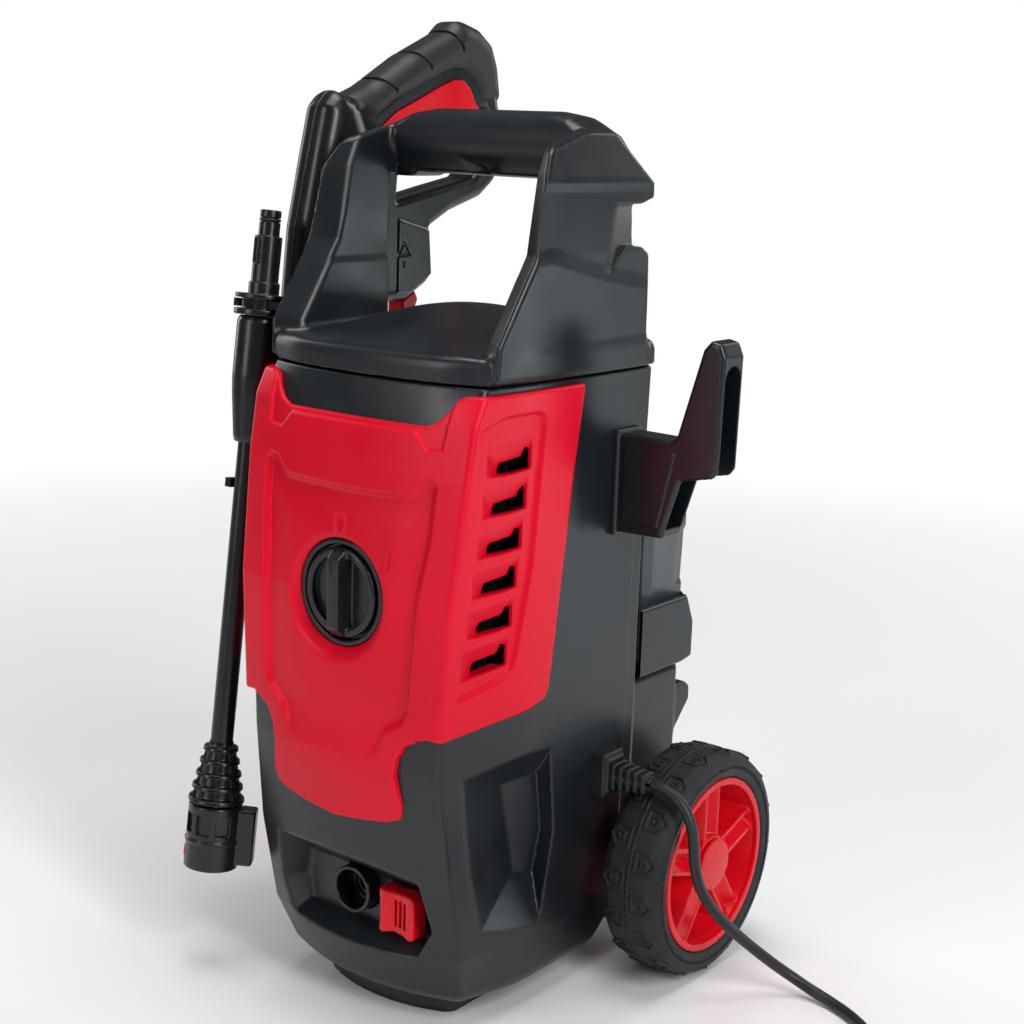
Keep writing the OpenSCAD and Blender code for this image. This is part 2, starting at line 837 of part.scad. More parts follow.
GUN_X = -100;
GUN_BASE = [GUN_X, -40, 366];
GUN_OUTLINE = [
    [-52, 366], [-47, 410], [-38, 448], [-31, 476], [-25, 482], [-13, 479], [4, 479],
    [36, 497], [72, 511], [96, 515], [108, 509], [119, 501], [126, 476], [122, 440],
    [118, 434], [103, 425], [75, 417], [56, 408], [60, 378], [36, 366]
];
GUN_HOLE = [
    [24, 424], [60, 431], [93, 437], [104, 446], [108, 464], [101, 478], [62, 462], [26, 446]
];
GUN_PAD = [
    [-12, 479.3], [4, 479.3], [36, 497.3], [72, 511.3], [96, 515.3], [108, 509.3],
    [119, 501.3], [122, 503], [112, 516], [95, 523], [81, 525], [72, 520], [36, 506], [3, 488],
    [-10, 481]
];
GUN_INLAY = [
    [30, 450.5], [62, 465], [101, 481], [106, 479], [100, 489], [86, 493], [64, 487],
    [38, 474], [20, 462]
];

module gun_half(x0, x1) {
    difference() {
        side_slab(GUN_OUTLINE, x0, x1);
        side_slab(GUN_HOLE, x0 - 1, x1 + 1);
        side_slab(TRIGGER_ROOM, GUN_X - 7, GUN_X + 7);
        translate([GUN_X, 0, 0]) bar_x(3 + fit, -20, 20, TRIGGER_PIN[0], TRIGGER_PIN[1], 32);
        translate([GUN_X, 0, 0]) bar_x(LOCK_R + fit, -20, 20, LOCK_PIN[0], LOCK_PIN[1], 32);
        bar_y(8.5, 112, 135, GUN_X, 482, 48);
        gun_axis() cylinder_at(10, -30, 60);
    }
}

module gun_axis() {
    translate(GUN_BASE) rotate([-gun_lean, 0, 0]) children();
}

module gun_shell_left() { color(BLACK) gun_half(GUN_X - gun_w / 2, GUN_X - 0.05); }
module gun_shell_right() { color(BLACK) gun_half(GUN_X + 0.05, GUN_X + gun_w / 2); }

module gun_grip_pad() {
    color(SOFT_BLACK) side_slab(GUN_PAD, GUN_X - gun_w / 2 - 1, GUN_X + gun_w / 2 + 1);
}

module gun_inlays() {
    side = gun_w / 2;
    color(RED) {
        side_slab(GUN_INLAY, GUN_X + side, GUN_X + side + 0.8);
        side_slab(GUN_INLAY, GUN_X - side - 0.8, GUN_X - side);
    }
}

module gun_barrel() {
    color(SOFT_BLACK) gun_axis() difference() {
        union() {
            cylinder_at(10, -104, 60);
            cylinder_at(12.5, -26, -6);
        }
        cylinder_at(6.1, -105, -80);
        cylinder_at(2.5, -81, 61);
    }
}

// Thumb tab under the gun's housing that frees the lance
module gun_lance_release() {
    color(RED) side_slab([[36, 365.7], [47, 371.2], [50, 366], [46, 358], [36, 357]],
        GUN_X - 6, GUN_X + 6);
}

TRIGGER_PIN = [22, 456];
TRIGGER = [
    [17, 452], [27, 459], [60, 470], [92, 480], [95, 475], [86, 465], [56, 451], [30, 440], [22, 443]
];
TRIGGER_ROOM = [
    [11, 447], [14, 470], [58, 485], [101, 494], [104, 477], [90, 455], [50, 442], [18, 434]
];
LOCK_PIN = [4, 428];
LOCK_R = 4;
LOCK_TRAVEL = 2.5;

module gun_trigger() {
    color(SOFT_BLACK) union() {
        side_slab(TRIGGER, GUN_X - 6.5, GUN_X + 6.5);
        translate([GUN_X, 0, 0]) bar_x(3, -12, 12, TRIGGER_PIN[0], TRIGGER_PIN[1], 32);
    }
}

// Cross bolt that blocks the trigger, pushed through from either side
module gun_trigger_lock() {
    reach = gun_w / 2 + LOCK_TRAVEL;
    color(RED) bar_x(LOCK_R, GUN_X - reach, GUN_X + reach, LOCK_PIN[0], LOCK_PIN[1], 32);
}

module gun_holster() {
    color(BLACK) difference() {
        union() {
            gun_axis() cylinder_at(14, -92, -56);
            box([-92, -54, 280], [-86, -8, 300]);
            box([-92, -9, 276], [-75, 12, 300]);
        }
        gun_axis() cylinder_at(10 + gap, -100, -40);
    }
}

// ---- Which pieces to draw ----

front_casing();
rear_casing();
fascia();
top_cover();
base_plinth();
foot_pad();
axle();
axle_clips();
casing_screws();
wheel_right_tyre();
wheel_right_rim();
wheel_right_cap();
wheel_left_tyre();
wheel_left_rim();
wheel_left_cap();
switch_knob();
switch_block();
outlet_socket();
release_button();
air_guides();
inlet_connector();
inlet_filter();
pump_head();
pump_body();
pistons();
swash_plate();
motor_can();
motor_stator();
motor_rotor();
motor_bearings();
cooling_fan();
motor_capacitor();
cable_gland();
cord_relief();
cord();
cord_coil();
cord_plug();
cable_hook();
hose_hook();
rear_tray();
detergent_bottle();
bottle_cap();
lance_holder();
lance_spigot();
lance_seal();
lance_grip();
lance_tube();
nozzle_carrier();
nozzle_head();
nozzle_mark();
gun_holster();
gun_shell_left();
gun_shell_right();
gun_grip_pad();
gun_inlays();
gun_barrel();
gun_lance_release();
gun_trigger();
gun_trigger_lock();
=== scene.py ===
"""Looks of the upright pressure washer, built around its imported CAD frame.

Shapes are written in millimetres. A moulded piece is a field, a function of x, y and z that is
negative inside the plastic, and its surface is meshed by net() with its edges already rounded.
"""

import math
from concurrent.futures import ThreadPoolExecutor

import bpy
import numpy as np
from mathutils import Matrix, Vector


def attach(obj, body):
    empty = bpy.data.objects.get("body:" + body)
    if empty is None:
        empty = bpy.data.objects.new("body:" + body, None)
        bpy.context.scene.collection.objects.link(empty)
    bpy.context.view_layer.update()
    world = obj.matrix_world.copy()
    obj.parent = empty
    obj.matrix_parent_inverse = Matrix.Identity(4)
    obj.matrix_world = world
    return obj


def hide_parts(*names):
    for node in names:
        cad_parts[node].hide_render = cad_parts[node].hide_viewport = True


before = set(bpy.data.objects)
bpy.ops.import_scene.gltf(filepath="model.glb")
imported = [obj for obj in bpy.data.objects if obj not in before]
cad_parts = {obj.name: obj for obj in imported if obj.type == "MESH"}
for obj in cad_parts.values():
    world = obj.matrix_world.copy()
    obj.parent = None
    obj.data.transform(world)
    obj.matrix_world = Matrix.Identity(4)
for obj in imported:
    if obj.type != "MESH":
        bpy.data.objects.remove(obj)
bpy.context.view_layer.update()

MM = 0.001
COARSE = 1.0


# ---- Camera ----

CAMERA_AT = (602.6, -765.6, 472.9)
CAMERA_TURN = math.radians(37.31)
CAMERA_DIP = math.radians(12.36)
CAMERA_ROLL = math.radians(1.85)
CAMERA_LENS = 63.24


def add_object(name, data):
    made = bpy.data.objects.new(name, data)
    bpy.context.scene.collection.objects.link(made)
    return made


def add_camera():
    """A camera with a 36 mm sensor, turned, dipped and rolled as named above."""
    turn, dip = CAMERA_TURN, CAMERA_DIP
    ahead = Vector((-math.sin(turn) * math.cos(dip), math.cos(turn) * math.cos(dip), -math.sin(dip)))
    right = Vector((math.cos(turn), math.sin(turn), 0))
    up = right.cross(ahead)
    rolled_right = right * math.cos(CAMERA_ROLL) + up * math.sin(CAMERA_ROLL)
    rolled_up = up * math.cos(CAMERA_ROLL) - right * math.sin(CAMERA_ROLL)
    camera = add_object("camera", bpy.data.cameras.new("camera"))
    turned = Matrix((rolled_right, rolled_up, -ahead)).transposed().to_4x4()
    camera.matrix_world = Matrix.Translation(Vector(CAMERA_AT) * MM) @ turned
    camera.data.lens = CAMERA_LENS
    camera.data.sensor_width = 36
    camera.data.clip_start = 0.01
    bpy.context.scene.camera = camera


add_camera()


# ---- Materials ----


def new_material(name):
    material = bpy.data.materials.new(name)
    material.use_nodes = True
    tree = material.node_tree
    shader = tree.nodes["Principled BSDF"]
    place = tree.nodes.new("ShaderNodeTexCoord").outputs["Object"]
    return material, tree, shader, place


def set_values(node, **values):
    """Sets a node's input sockets, named in lower case with _ for a space."""
    for name, value in values.items():
        node.inputs[name.replace("_", " ").title().replace("Ior", "IOR")].default_value = value


def noise(tree, place, scale, detail=3, roughness=0.55):
    node = tree.nodes.new("ShaderNodeTexNoise")
    set_values(node, scale=scale, detail=detail, roughness=roughness)
    tree.links.new(place, node.inputs["Vector"])
    return node.outputs["Fac"]


def remap(tree, value, low, high, start=0.3, end=0.7):
    node = tree.nodes.new("ShaderNodeMapRange")
    set_values(node, from_min=start, from_max=end, to_min=low, to_max=high)
    tree.links.new(value, node.inputs["Value"])
    return node.outputs["Result"]


def paint(tree, shader, value, dark, light):
    """Base colour that drifts from dark to light with value."""
    node = tree.nodes.new("ShaderNodeValToRGB")
    for element, position, colour in zip(node.color_ramp.elements, (0.35, 0.65), (dark, light)):
        element.position = position
        element.color = (*colour, 1)
    tree.links.new(value, node.inputs["Fac"])
    tree.links.new(node.outputs["Color"], shader.inputs["Base Color"])


def roughen(tree, shader, value, low, high):
    """Roughness that drifts from low to high with value."""
    tree.links.new(remap(tree, value, low, high), shader.inputs["Roughness"])


def bump(tree, shader, height, strength, distance, under=None):
    node = tree.nodes.new("ShaderNodeBump")
    set_values(node, strength=strength, distance=distance)
    tree.links.new(height, node.inputs["Height"])
    if under is not None:
        tree.links.new(under, node.inputs["Normal"])
    tree.links.new(node.outputs["Normal"], shader.inputs["Normal"])
    return node.outputs["Normal"]


def moulded(name, dark, light, roughness, grain=0.25, grain_scale=1400, specular=0.5):
    """Injection-moulded plastic: spark-eroded grain, uneven gloss and faint flow marks."""
    material, tree, shader, place = new_material(name)
    paint(tree, shader, noise(tree, place, 9, 2), dark, light)
    roughen(tree, shader, noise(tree, place, 38, 4), roughness - 0.05, roughness + 0.06)
    sink = bump(tree, shader, noise(tree, place, 26, 1), 0.10, 0.0006)
    bump(tree, shader, noise(tree, place, grain_scale, 2), grain, 0.00012, sink)
    set_values(shader, specular_ior_level=specular)
    return material


def rubber(name, dark, light, roughness=0.62):
    """Soft matt rubber with a fine dusty bloom."""
    material, tree, shader, place = new_material(name)
    paint(tree, shader, noise(tree, place, 60, 4), dark, light)
    roughen(tree, shader, noise(tree, place, 90, 3), roughness - 0.07, roughness + 0.08)
    bump(tree, shader, noise(tree, place, 900, 3), 0.35, 0.00015)
    set_values(shader, specular_ior_level=0.4)
    return material


def metal(name, colour, roughness, scale=(900, 900, 40)):
    """Machined metal with fine turning marks."""
    material, tree, shader, place = new_material(name)
    stretch = tree.nodes.new("ShaderNodeMapping")
    set_values(stretch, scale=scale)
    tree.links.new(place, stretch.inputs["Vector"])
    marks = noise(tree, stretch.outputs["Vector"], 1.0, 2)
    paint(tree, shader, marks, [0.82 * c for c in colour], colour)
    roughen(tree, shader, marks, roughness - 0.06, roughness + 0.08)
    bump(tree, shader, marks, 0.12, 0.00008)
    set_values(shader, metallic=1.0)
    return material


def windings(name):
    """Enamelled copper wire laid side by side."""
    material, tree, shader, place = new_material(name)
    wave = tree.nodes.new("ShaderNodeTexWave")
    wave.wave_type = "RINGS"
    wave.rings_direction = "Z"
    set_values(wave, scale=260, distortion=1.5)
    tree.links.new(place, wave.inputs["Vector"])
    laid = wave.outputs["Fac"]
    paint(tree, shader, laid, (0.30, 0.10, 0.03), (0.72, 0.32, 0.12))
    bump(tree, shader, laid, 0.5, 0.0004)
    set_values(shader, metallic=0.9, roughness=0.35)
    return material


def tinted_bottle(name):
    """Smoky polyethylene, blown into a mould."""
    material, tree, shader, place = new_material(name)
    paint(tree, shader, noise(tree, place, 14, 3), (0.035, 0.045, 0.048), (0.06, 0.075, 0.08))
    roughen(tree, shader, noise(tree, place, 50, 3), 0.26, 0.40)
    bump(tree, shader, noise(tree, place, 45, 2), 0.15, 0.0005)
    set_values(shader, coat_weight=0.15)
    return material


CASE_BLACK = moulded("case_black", (0.005, 0.0075, 0.010), (0.008, 0.0115, 0.015), 0.34, 0.2)
SATIN_BLACK = moulded("satin_black", (0.004, 0.005, 0.0065), (0.007, 0.008, 0.010), 0.28, 0.12)
GRIP_BLACK = moulded("grip_black", (0.007, 0.008, 0.009), (0.011, 0.012, 0.014), 0.50, 0.5, 700)
RED = moulded("signal_red", (0.66, 0.001, 0.018), (0.74, 0.002, 0.024), 0.36, 0.14, 1100, 0.2)
GLOSS_RED = moulded("gloss_red", (0.66, 0.002, 0.010), (0.74, 0.003, 0.014), 0.27, 0.08, 1100, 0.3)
TYRE_RUBBER = rubber("tyre_rubber", (0.010, 0.011, 0.012), (0.017, 0.018, 0.019))
CORD_RUBBER = rubber("cord_rubber", (0.012, 0.014, 0.016), (0.020, 0.022, 0.025), 0.42)
SEAL_RUBBER = rubber("seal_rubber", (0.008, 0.008, 0.009), (0.014, 0.014, 0.015), 0.45)
STEEL = metal("turned_steel", (0.62, 0.63, 0.65), 0.30)
ALUMINIUM = metal("cast_aluminium", (0.60, 0.61, 0.63), 0.42, (160, 160, 160))
COPPER = windings("copper_windings")
BOTTLE = tinted_bottle("bottle_plastic")


# ---- Mesher: a field's zero surface as quads ----

BLOCK = 8
CORNERS = [(i, j, k) for i in (0, 1) for j in (0, 1) for k in (0, 1)]
EDGES = [
    (a, b)
    for a in range(8)
    for b in range(a + 1, 8)
    if sum(p != q for p, q in zip(CORNERS[a], CORNERS[b])) == 1
]


def lattice(corner, step):
    """The coordinates of each block's lattice points, left unbroadcast so that fields stay cheap."""
    along = np.arange(BLOCK + 1) * step
    return (
        corner[:, 0, None, None, None] + along[None, :, None, None],
        corner[:, 1, None, None, None] + along[None, None, :, None],
        corner[:, 2, None, None, None] + along[None, None, None, :],
    )


def cells_of(values, blocks, wide):
    """The points inside the cells that the surface crosses, with the cells' keys."""
    inside = values < 0
    count = sum(
        inside[:, i : i + BLOCK, j : j + BLOCK, k : k + BLOCK].astype(np.int8) for i, j, k in CORNERS
    )
    b, i, j, k = np.nonzero((count > 0) & (count < 8))
    corner = np.stack([values[b, i + di, j + dj, k + dk] for di, dj, dk in CORNERS], 1)
    total = np.zeros((len(b), 3))
    crossings = np.zeros(len(b))
    for first, second in EDGES:
        va, vb = corner[:, first], corner[:, second]
        crosses = (va < 0) != (vb < 0)
        share = np.where(crosses, va / np.where(crosses, va - vb, 1), 0)
        a, d = np.array(CORNERS[first]), np.array(CORNERS[second]) - np.array(CORNERS[first])
        total += np.where(crosses[:, None], a + share[:, None] * d, 0)
        crossings += crosses
    cell = blocks[b] * BLOCK + np.stack([i, j, k], 1)
    keys = (cell[:, 0] * wide + cell[:, 1]) * wide + cell[:, 2]
    return cell + total / crossings[:, None], keys


def crossed_edges(values, blocks, wide):
    """For each lattice edge that the surface crosses, the keys of the four cells around it."""
    inside = values < 0
    here = inside[:, :BLOCK, :BLOCK, :BLOCK]
    found = []
    for axis in range(3):
        shift = [slice(0, BLOCK)] * 3
        shift[axis] = slice(1, BLOCK + 1)
        there = inside[(slice(None), *shift)]
        b, i, j, k = np.nonzero(here != there)
        cell = blocks[b] * BLOCK + np.stack([i, j, k], 1)
        outward = here[b, i, j, k]
        ring = []
        for du, dv in ((-1, -1), (0, -1), (0, 0), (-1, 0)):
            beside = cell.copy()
            beside[:, (axis + 1) % 3] += du
            beside[:, (axis + 2) % 3] += dv
            ring.append((beside[:, 0] * wide + beside[:, 1]) * wide + beside[:, 2])
        ring = np.stack(ring, 1)
        found.append(np.where(outward[:, None], ring, ring[:, ::-1]))
    return np.concatenate(found)


def slope(field, points, reach):
    """The field's unit gradient at each point, and its length."""
    gradient = np.empty_like(points)
    for axis in range(3):
        step = np.zeros(3)
        step[axis] = reach
        ahead, behind = points + step, points - step
        gradient[:, axis] = (field(*ahead.T) - field(*behind.T)) / (2 * reach)
    length = np.maximum(np.linalg.norm(gradient, axis=1), 1e-6)
    return gradient / length[:, None], length


def settle(field, points, step):
    """Moves points along the gradient onto the surface."""
    direction, length = slope(field, points, 0.2 * step)
    move = np.clip(field(*points.T) / length, -0.5 * step, 0.5 * step)
    return points - direction * move[:, None]


def even_out(points, quads, share):
    """Moves each point towards the middle of its neighbours."""
    total = np.zeros_like(points)
    count = np.zeros(len(points))
    for a, b in ((0, 1), (1, 2), (2, 3), (3, 0)):
        for one, other in ((quads[:, a], quads[:, b]), (quads[:, b], quads[:, a])):
            count += np.bincount(one, minlength=len(points))
            for axis in range(3):
                total[:, axis] += np.bincount(
                    one, weights=points[other, axis], minlength=len(points)
                )
    return points + share * (total / np.maximum(count, 1)[:, None] - points)


def net(field, low, high, step):
    """(points, quads, normals) of field's surface between low and high, by surface nets."""
    step = step * COARSE
    low = np.array(low, float)
    counts = np.ceil((np.array(high, float) - low) / (step * BLOCK)).astype(int)
    wide = int(counts.max() * BLOCK + 2)
    blocks = np.stack(np.meshgrid(*map(np.arange, counts), indexing="ij"), -1).reshape(-1, 3)
    centres = low + (blocks + 0.5) * step * BLOCK
    blocks = blocks[np.abs(field(*centres.T)) < 1.05 * step * BLOCK]
    parts = np.array_split(blocks, max(1, len(blocks) // 250))

    def work(part):
        values = field(*lattice(low + part * step * BLOCK, step))
        values = np.broadcast_to(values, (len(part),) + (BLOCK + 1,) * 3)
        return (*cells_of(values, part, wide), crossed_edges(values, part, wide))

    with ThreadPoolExecutor(4) as pool:
        done = list(pool.map(work, parts))
    points = np.concatenate([d[0] for d in done])
    keys = np.concatenate([d[1] for d in done])
    rings = np.concatenate([d[2] for d in done])
    order = np.argsort(keys)
    found = np.searchsorted(keys[order], rings)
    found = np.minimum(found, len(keys) - 1)
    whole = (keys[order][found] == rings).all(1)
    quads = order[found][whole]
    points = low + points * step
    for share in (0.5, 0.4, 0.25):
        points = even_out(points, quads, share)
        points = settle(field, settle(field, points, step), step)
    normals, _ = slope(field, points, 0.25)
    return points, quads, normals


def mesh_object(name, points, quads, material, normals=None):
    """A mesh object from points in millimetres."""
    mesh = bpy.data.meshes.new(name)
    sides = quads.shape[1]
    mesh.vertices.add(len(points))
    mesh.vertices.foreach_set("co", (points * MM).astype(np.float32).ravel())
    mesh.loops.add(quads.size)
    mesh.loops.foreach_set("vertex_index", quads.astype(np.int32).ravel())
    mesh.polygons.add(len(quads))
    mesh.polygons.foreach_set("loop_start", np.arange(0, quads.size, sides, dtype=np.int32))
    mesh.polygons.foreach_set("use_smooth", np.ones(len(quads), bool))
    mesh.update(calc_edges=True)
    mesh.validate()
    if normals is not None:
        mesh.normals_split_custom_set_from_vertices(normals.tolist())
    mesh.materials.append(material)
    return add_object(name, mesh)


def moulding(name, node, field, low, high, step, material, body="machine", slot=None):
    """A moulded piece from its field, riding on a body and standing for a CAD node."""
    points, quads, normals = net(field, low, high, step)
    piece = mesh_object(name, points, quads, material, normals)
    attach(piece, body)
    if node:
        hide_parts(node)


# ---- Fields ----


def both(a, b, r=0.0):
    """Union, with a fillet of radius r where the two meet."""
    if not r:
        return np.minimum(a, b)
    return np.maximum(r, np.minimum(a, b)) - np.hypot(np.maximum(r - a, 0), np.maximum(r - b, 0))


def only(a, b, r=0.0):
    """Intersection, with its edge rounded to radius r."""
    if not r:
        return np.maximum(a, b)
    return np.minimum(-r, np.maximum(a, b)) + np.hypot(np.maximum(r + a, 0), np.maximum(r + b, 0))


def less(a, b, r=0.0):
    """a with b cut out of it, the rim rounded to radius r."""
    return only(a, -b, r)


def between(value, low, high):
    """Distance outside the stretch from low to high."""
    return np.maximum(low - value, value - high)


def joined(body, *parts):
    """body with each (field, fillet) joined to it in turn."""
    for part, r in parts:
        body = both(body, part, r)
    return body


def cut(body, *parts):
    """body with each (field, rim radius) cut out of it in turn."""
    for part, r in parts:
        body = less(body, part, r)
    return body


def crease(a, b, k):
    """Intersection of two faces that meet at an open angle, with a soft crease between them."""
    return np.maximum(a, b) + np.maximum(k - np.abs(a - b), 0) ** 2 / (4 * k)


def ramp(value, start, end):
    """0 before start, 1 after end, smooth between."""
    t = np.clip((value - start) / (end - start), 0, 1)
    return t * t * (3 - 2 * t)


def block(x, y, z, low, high, r):
    """A box with its edges rounded to radius r."""
    q = [np.abs(c - (a + b) / 2) - (b - a) / 2 + r for c, a, b in zip((x, y, z), low, high)]
    outer = np.sqrt(sum(np.maximum(c, 0) ** 2 for c in q))
    return outer + np.minimum(np.maximum(q[0], np.maximum(q[1], q[2])), 0) - r


def rod(u, v, w, radius, w0, w1, r=0.0):
    """A cylinder along w, centred on u = v = 0, with its ends rounded to radius r."""
    return only(np.hypot(u, v) - radius, between(w, w0, w1), r)


def about(centre, u, v):
    """Distance from a point, seen along the third axis."""
    return np.hypot(u - centre[0], v - centre[1])


def plane(x, y, z, point, normal):
    """Distance in front of a plane."""
    n = np.array(normal, float) / np.linalg.norm(normal)
    return (x - point[0]) * n[0] + (y - point[1]) * n[1] + (z - point[2]) * n[2]


def wall(x, y, z, within, a, b, c):
    """Distance from the plane through a, b and c, negative on the side of the point within."""
    a, b, c = (np.array(p, float) for p in (a, b, c))
    normal = np.cross(b - a, c - a)
    return plane(x, y, z, a, -normal if normal @ (np.array(within) - a) > 0 else normal)


def hollow(x, y, z, within, walls, soft):
    """The room inside several flat walls, each given by three points."""
    room = wall(x, y, z, within, *walls[0])
    for points in walls[1:]:
        room = crease(room, wall(x, y, z, within, *points), soft)
    return room


class Outline:
    """A flat outline's signed distance, held on a half-millimetre grid with softened corners."""

    CELL = 0.5
    MARGIN = 14

    def __init__(self, points, soften=0.0):
        points = np.array(points, float)
        self.low = points.min(0) - self.MARGIN
        count = np.ceil((points.max(0) + self.MARGIN - self.low) / self.CELL).astype(int) + 1
        u = self.low[0] + np.arange(count[0])[:, None] * self.CELL
        v = self.low[1] + np.arange(count[1])[None, :] * self.CELL
        grid = self.exact(points, u, v)
        passes = int(round(soften / self.CELL))
        for _ in range(passes):
            for axis in (0, 1):
                lines = np.moveaxis(grid, axis, 0)
                ends = np.concatenate([lines[:1], lines, lines[-1:]])
                grid = np.moveaxis(0.25 * (ends[2:] + ends[:-2]) + 0.5 * lines, 0, axis)
        self.grid = np.ascontiguousarray(grid)

    @staticmethod
    def exact(points, u, v):
        nearest = np.full((u.shape[0], v.shape[1]), 1e9)
        inside = np.zeros(nearest.shape, bool)
        for (ax, ay), (bx, by) in zip(points, np.roll(points, -1, 0)):
            ex, ey = bx - ax, by - ay
            t = np.clip(((u - ax) * ex + (v - ay) * ey) / (ex * ex + ey * ey), 0, 1)
            nearest = np.minimum(nearest, (u - ax - t * ex) ** 2 + (v - ay - t * ey) ** 2)
            if ay != by:
                inside ^= ((ay > v) != (by > v)) & (u < ex * (v - ay) / ey + ax)
        return np.where(inside, -1, 1) * np.sqrt(nearest)

    def __call__(self, u, v):
        gu = (u - self.low[0]) / self.CELL
        gv = (v - self.low[1]) / self.CELL
        cu = np.clip(gu, 0, self.grid.shape[0] - 1.001)
        cv = np.clip(gv, 0, self.grid.shape[1] - 1.001)
        i, j = cu.astype(int), cv.astype(int)
        fu, fv = cu - i, cv - j
        grid = self.grid
        value = (grid[i, j] * (1 - fu) + grid[i + 1, j] * fu) * (1 - fv)
        value = value + (grid[i, j + 1] * (1 - fu) + grid[i + 1, j + 1] * fu) * fv
        return value + self.CELL * np.hypot(gu - cu, gv - cv)


def mirrored(points):
    """A right half outline, from top to bottom, with its left half added."""
    return list(points) + [(-u, v) for u, v in reversed(points) if u]


def slab(flat, w, w0, w1, r=0.0):
    """A flat field made thick along w, its rims rounded to radius r."""
    return only(flat, between(w, w0, w1), r)


# ---- Cord ----

CORD_D = 6.2
CORD_ROUTE = [
    (108, 17, 122), (112, 17, 121.9), (117, 17, 121), (123, 17, 118.5), (128, 17, 114.6),
    (132, 17, 109), (134.7, 17, 102.5), (136.3, 16.8, 94), (137.5, 17.2, 83),
    (139.5, 20.5, 70), (143, 27, 58), (147.5, 35, 47), (152.5, 44, 37), (158.5, 53, 27.5),
    (165.5, 61.5, 18.5), (174, 67.5, 11.5), (184.5, 70, 6.5), (197, 69, 3.9),
    (210, 64.5, 3.1), (222.5, 57, 3.1), (234, 47.5, 3.1), (245, 38, 3.1), (257, 29.5, 3.1),
]
COIL_AT = (270, -30)
COIL_MID_R = 37
COIL_WIDE = 5
COIL_HIGH = 4
PLUG_AT = (236, -85.8, 12)


def smooth_curve(points, pieces=4):
    """Points on a Catmull-Rom curve through the given ones."""
    p = np.array(points, float)
    p = np.vstack([2 * p[0] - p[1], p, 2 * p[-1] - p[-2]])
    made = []
    for a, b, c, d in zip(p, p[1:], p[2:], p[3:]):
        for t in np.arange(pieces) / pieces:
            made.append(
                0.5 * (2 * b + (c - a) * t + (2 * a - 5 * b + 4 * c - d) * t**2
                + (3 * b - a - 3 * c + d) * t**3)
            )
    return np.array(made + [p[-2]])


def coil_points():
    """The coil's turns, wound layer on layer, and the way off it to the plug."""
    per_turn = 36
    step_over = 10  # steps of each turn in which the cord moves to its next place
    outer = COIL_MID_R + (COIL_WIDE - 1) / 2 * CORD_D
    places = [(outer + CORD_D, CORD_D / 2)]
    for layer in range(COIL_HIGH):
        radii = [outer - CORD_D * k for k in range(COIL_WIDE)]
        for r in radii if layer % 2 == 0 else reversed(radii):
            places.append((r, CORD_D * (layer + 0.5)))
    places.append((COIL_AT[1] - PLUG_AT[1], PLUG_AT[2]))
    made = []
    for turn in range(len(places) - 1):
        last = turn == len(places) - 2
        across = per_turn / 2 if last else step_over
        for k in range(int(per_turn / 2) + 1 if last else per_turn):
            share = ramp(k, 0, across)
            r = places[turn][0] + share * (places[turn + 1][0] - places[turn][0])
            z = places[turn][1] + share * (places[turn + 1][1] - places[turn][1])
            angle = math.radians(90 - 360 * k / per_turn)
            made.append((COIL_AT[0] + r * math.cos(angle), COIL_AT[1] + r * math.sin(angle), z))
    x, y, z = PLUG_AT
    made += [(x + 26, y, z), (x + 20, y, z)]
    return made


def add_cord():
    coil = coil_points()
    route = smooth_curve(CORD_ROUTE + coil[:2])[:-5]  # up to where the coil's own points begin
    points = np.vstack([route, coil])
    curve = bpy.data.curves.new("power_cord", "CURVE")
    curve.dimensions = "3D"
    curve.bevel_depth = CORD_D / 2 * MM
    curve.bevel_resolution = 4
    curve.use_fill_caps = True
    spline = curve.splines.new("POLY")
    spline.points.add(len(points) - 1)
    spline.points.foreach_set("co", np.c_[points * MM, np.ones(len(points))].ravel())
    curve.materials.append(CORD_RUBBER)
    cord = add_object("power_cord", curve)
    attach(cord, "machine")
    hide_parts("cord", "cord_coil")


add_cord()


# ---- Casing ----

SEAM_Z = 345
SEAM_GAP = 0.4
SPLIT_Y = 38
SPLIT_GAP = 0.15
WALL = 7
GLAND_Y, GLAND_Z = 17, 122
# height, the bowed front's middle y, its edge x y, the corner's x y, the side's front x y, back y
CASING = np.array([
    [12, -96, 40, -90, 58, -83, 69, -45, 24], [45, -108, 46, -103, 65.5, -96, 73, -50, 56],
    [95, -117, 48, -112, 66, -106.5, 74, -52, 56], [150, -120, 50, -117, 63.5, -114, 75, -55, 56],
    [234, -119, 50, -116, 68, -113, 75, -50, 56], [300, -111, 50, -108.5, 70.5, -105, 75, -48, 56],
    [328, -106.5, 50, -104, 71, -100, 75.6, -48, 56], [345, -103, 50, -99, 71, -91.5, 76, -48, 56],
])
BACK_CHAMFER = 8


def casing(x, y, z):
    """Distance outside the casing's upright faces."""
    side = np.abs(x)
    middle_y, panel_x, panel_y, corner_x, corner_y, side_x, side_y, back_y = (
        np.interp(z, CASING[:, 0], column) for column in CASING.T[1:]
    )
    plan = [(panel_x, panel_y), (corner_x, corner_y), (side_x, side_y)]
    plan += [(side_x, back_y - BACK_CHAMFER), (side_x - BACK_CHAMFER, back_y)]
    bend = (panel_y - middle_y) / panel_x**2
    shape = (middle_y + bend * side**2 - y) / np.hypot(1, 2 * bend * side)
    for (ax, ay), (bx, by), soft in zip(plan, plan[1:], (1.5, 3, 2.5, 1)):
        ex, ey = bx - ax, by - ay
        shape = crease(shape, ((side - ax) * ey - (y - ay) * ex) / np.hypot(ex, ey), soft)
    return crease(shape, y - back_y, 1)


FRONT_FOOT = 12


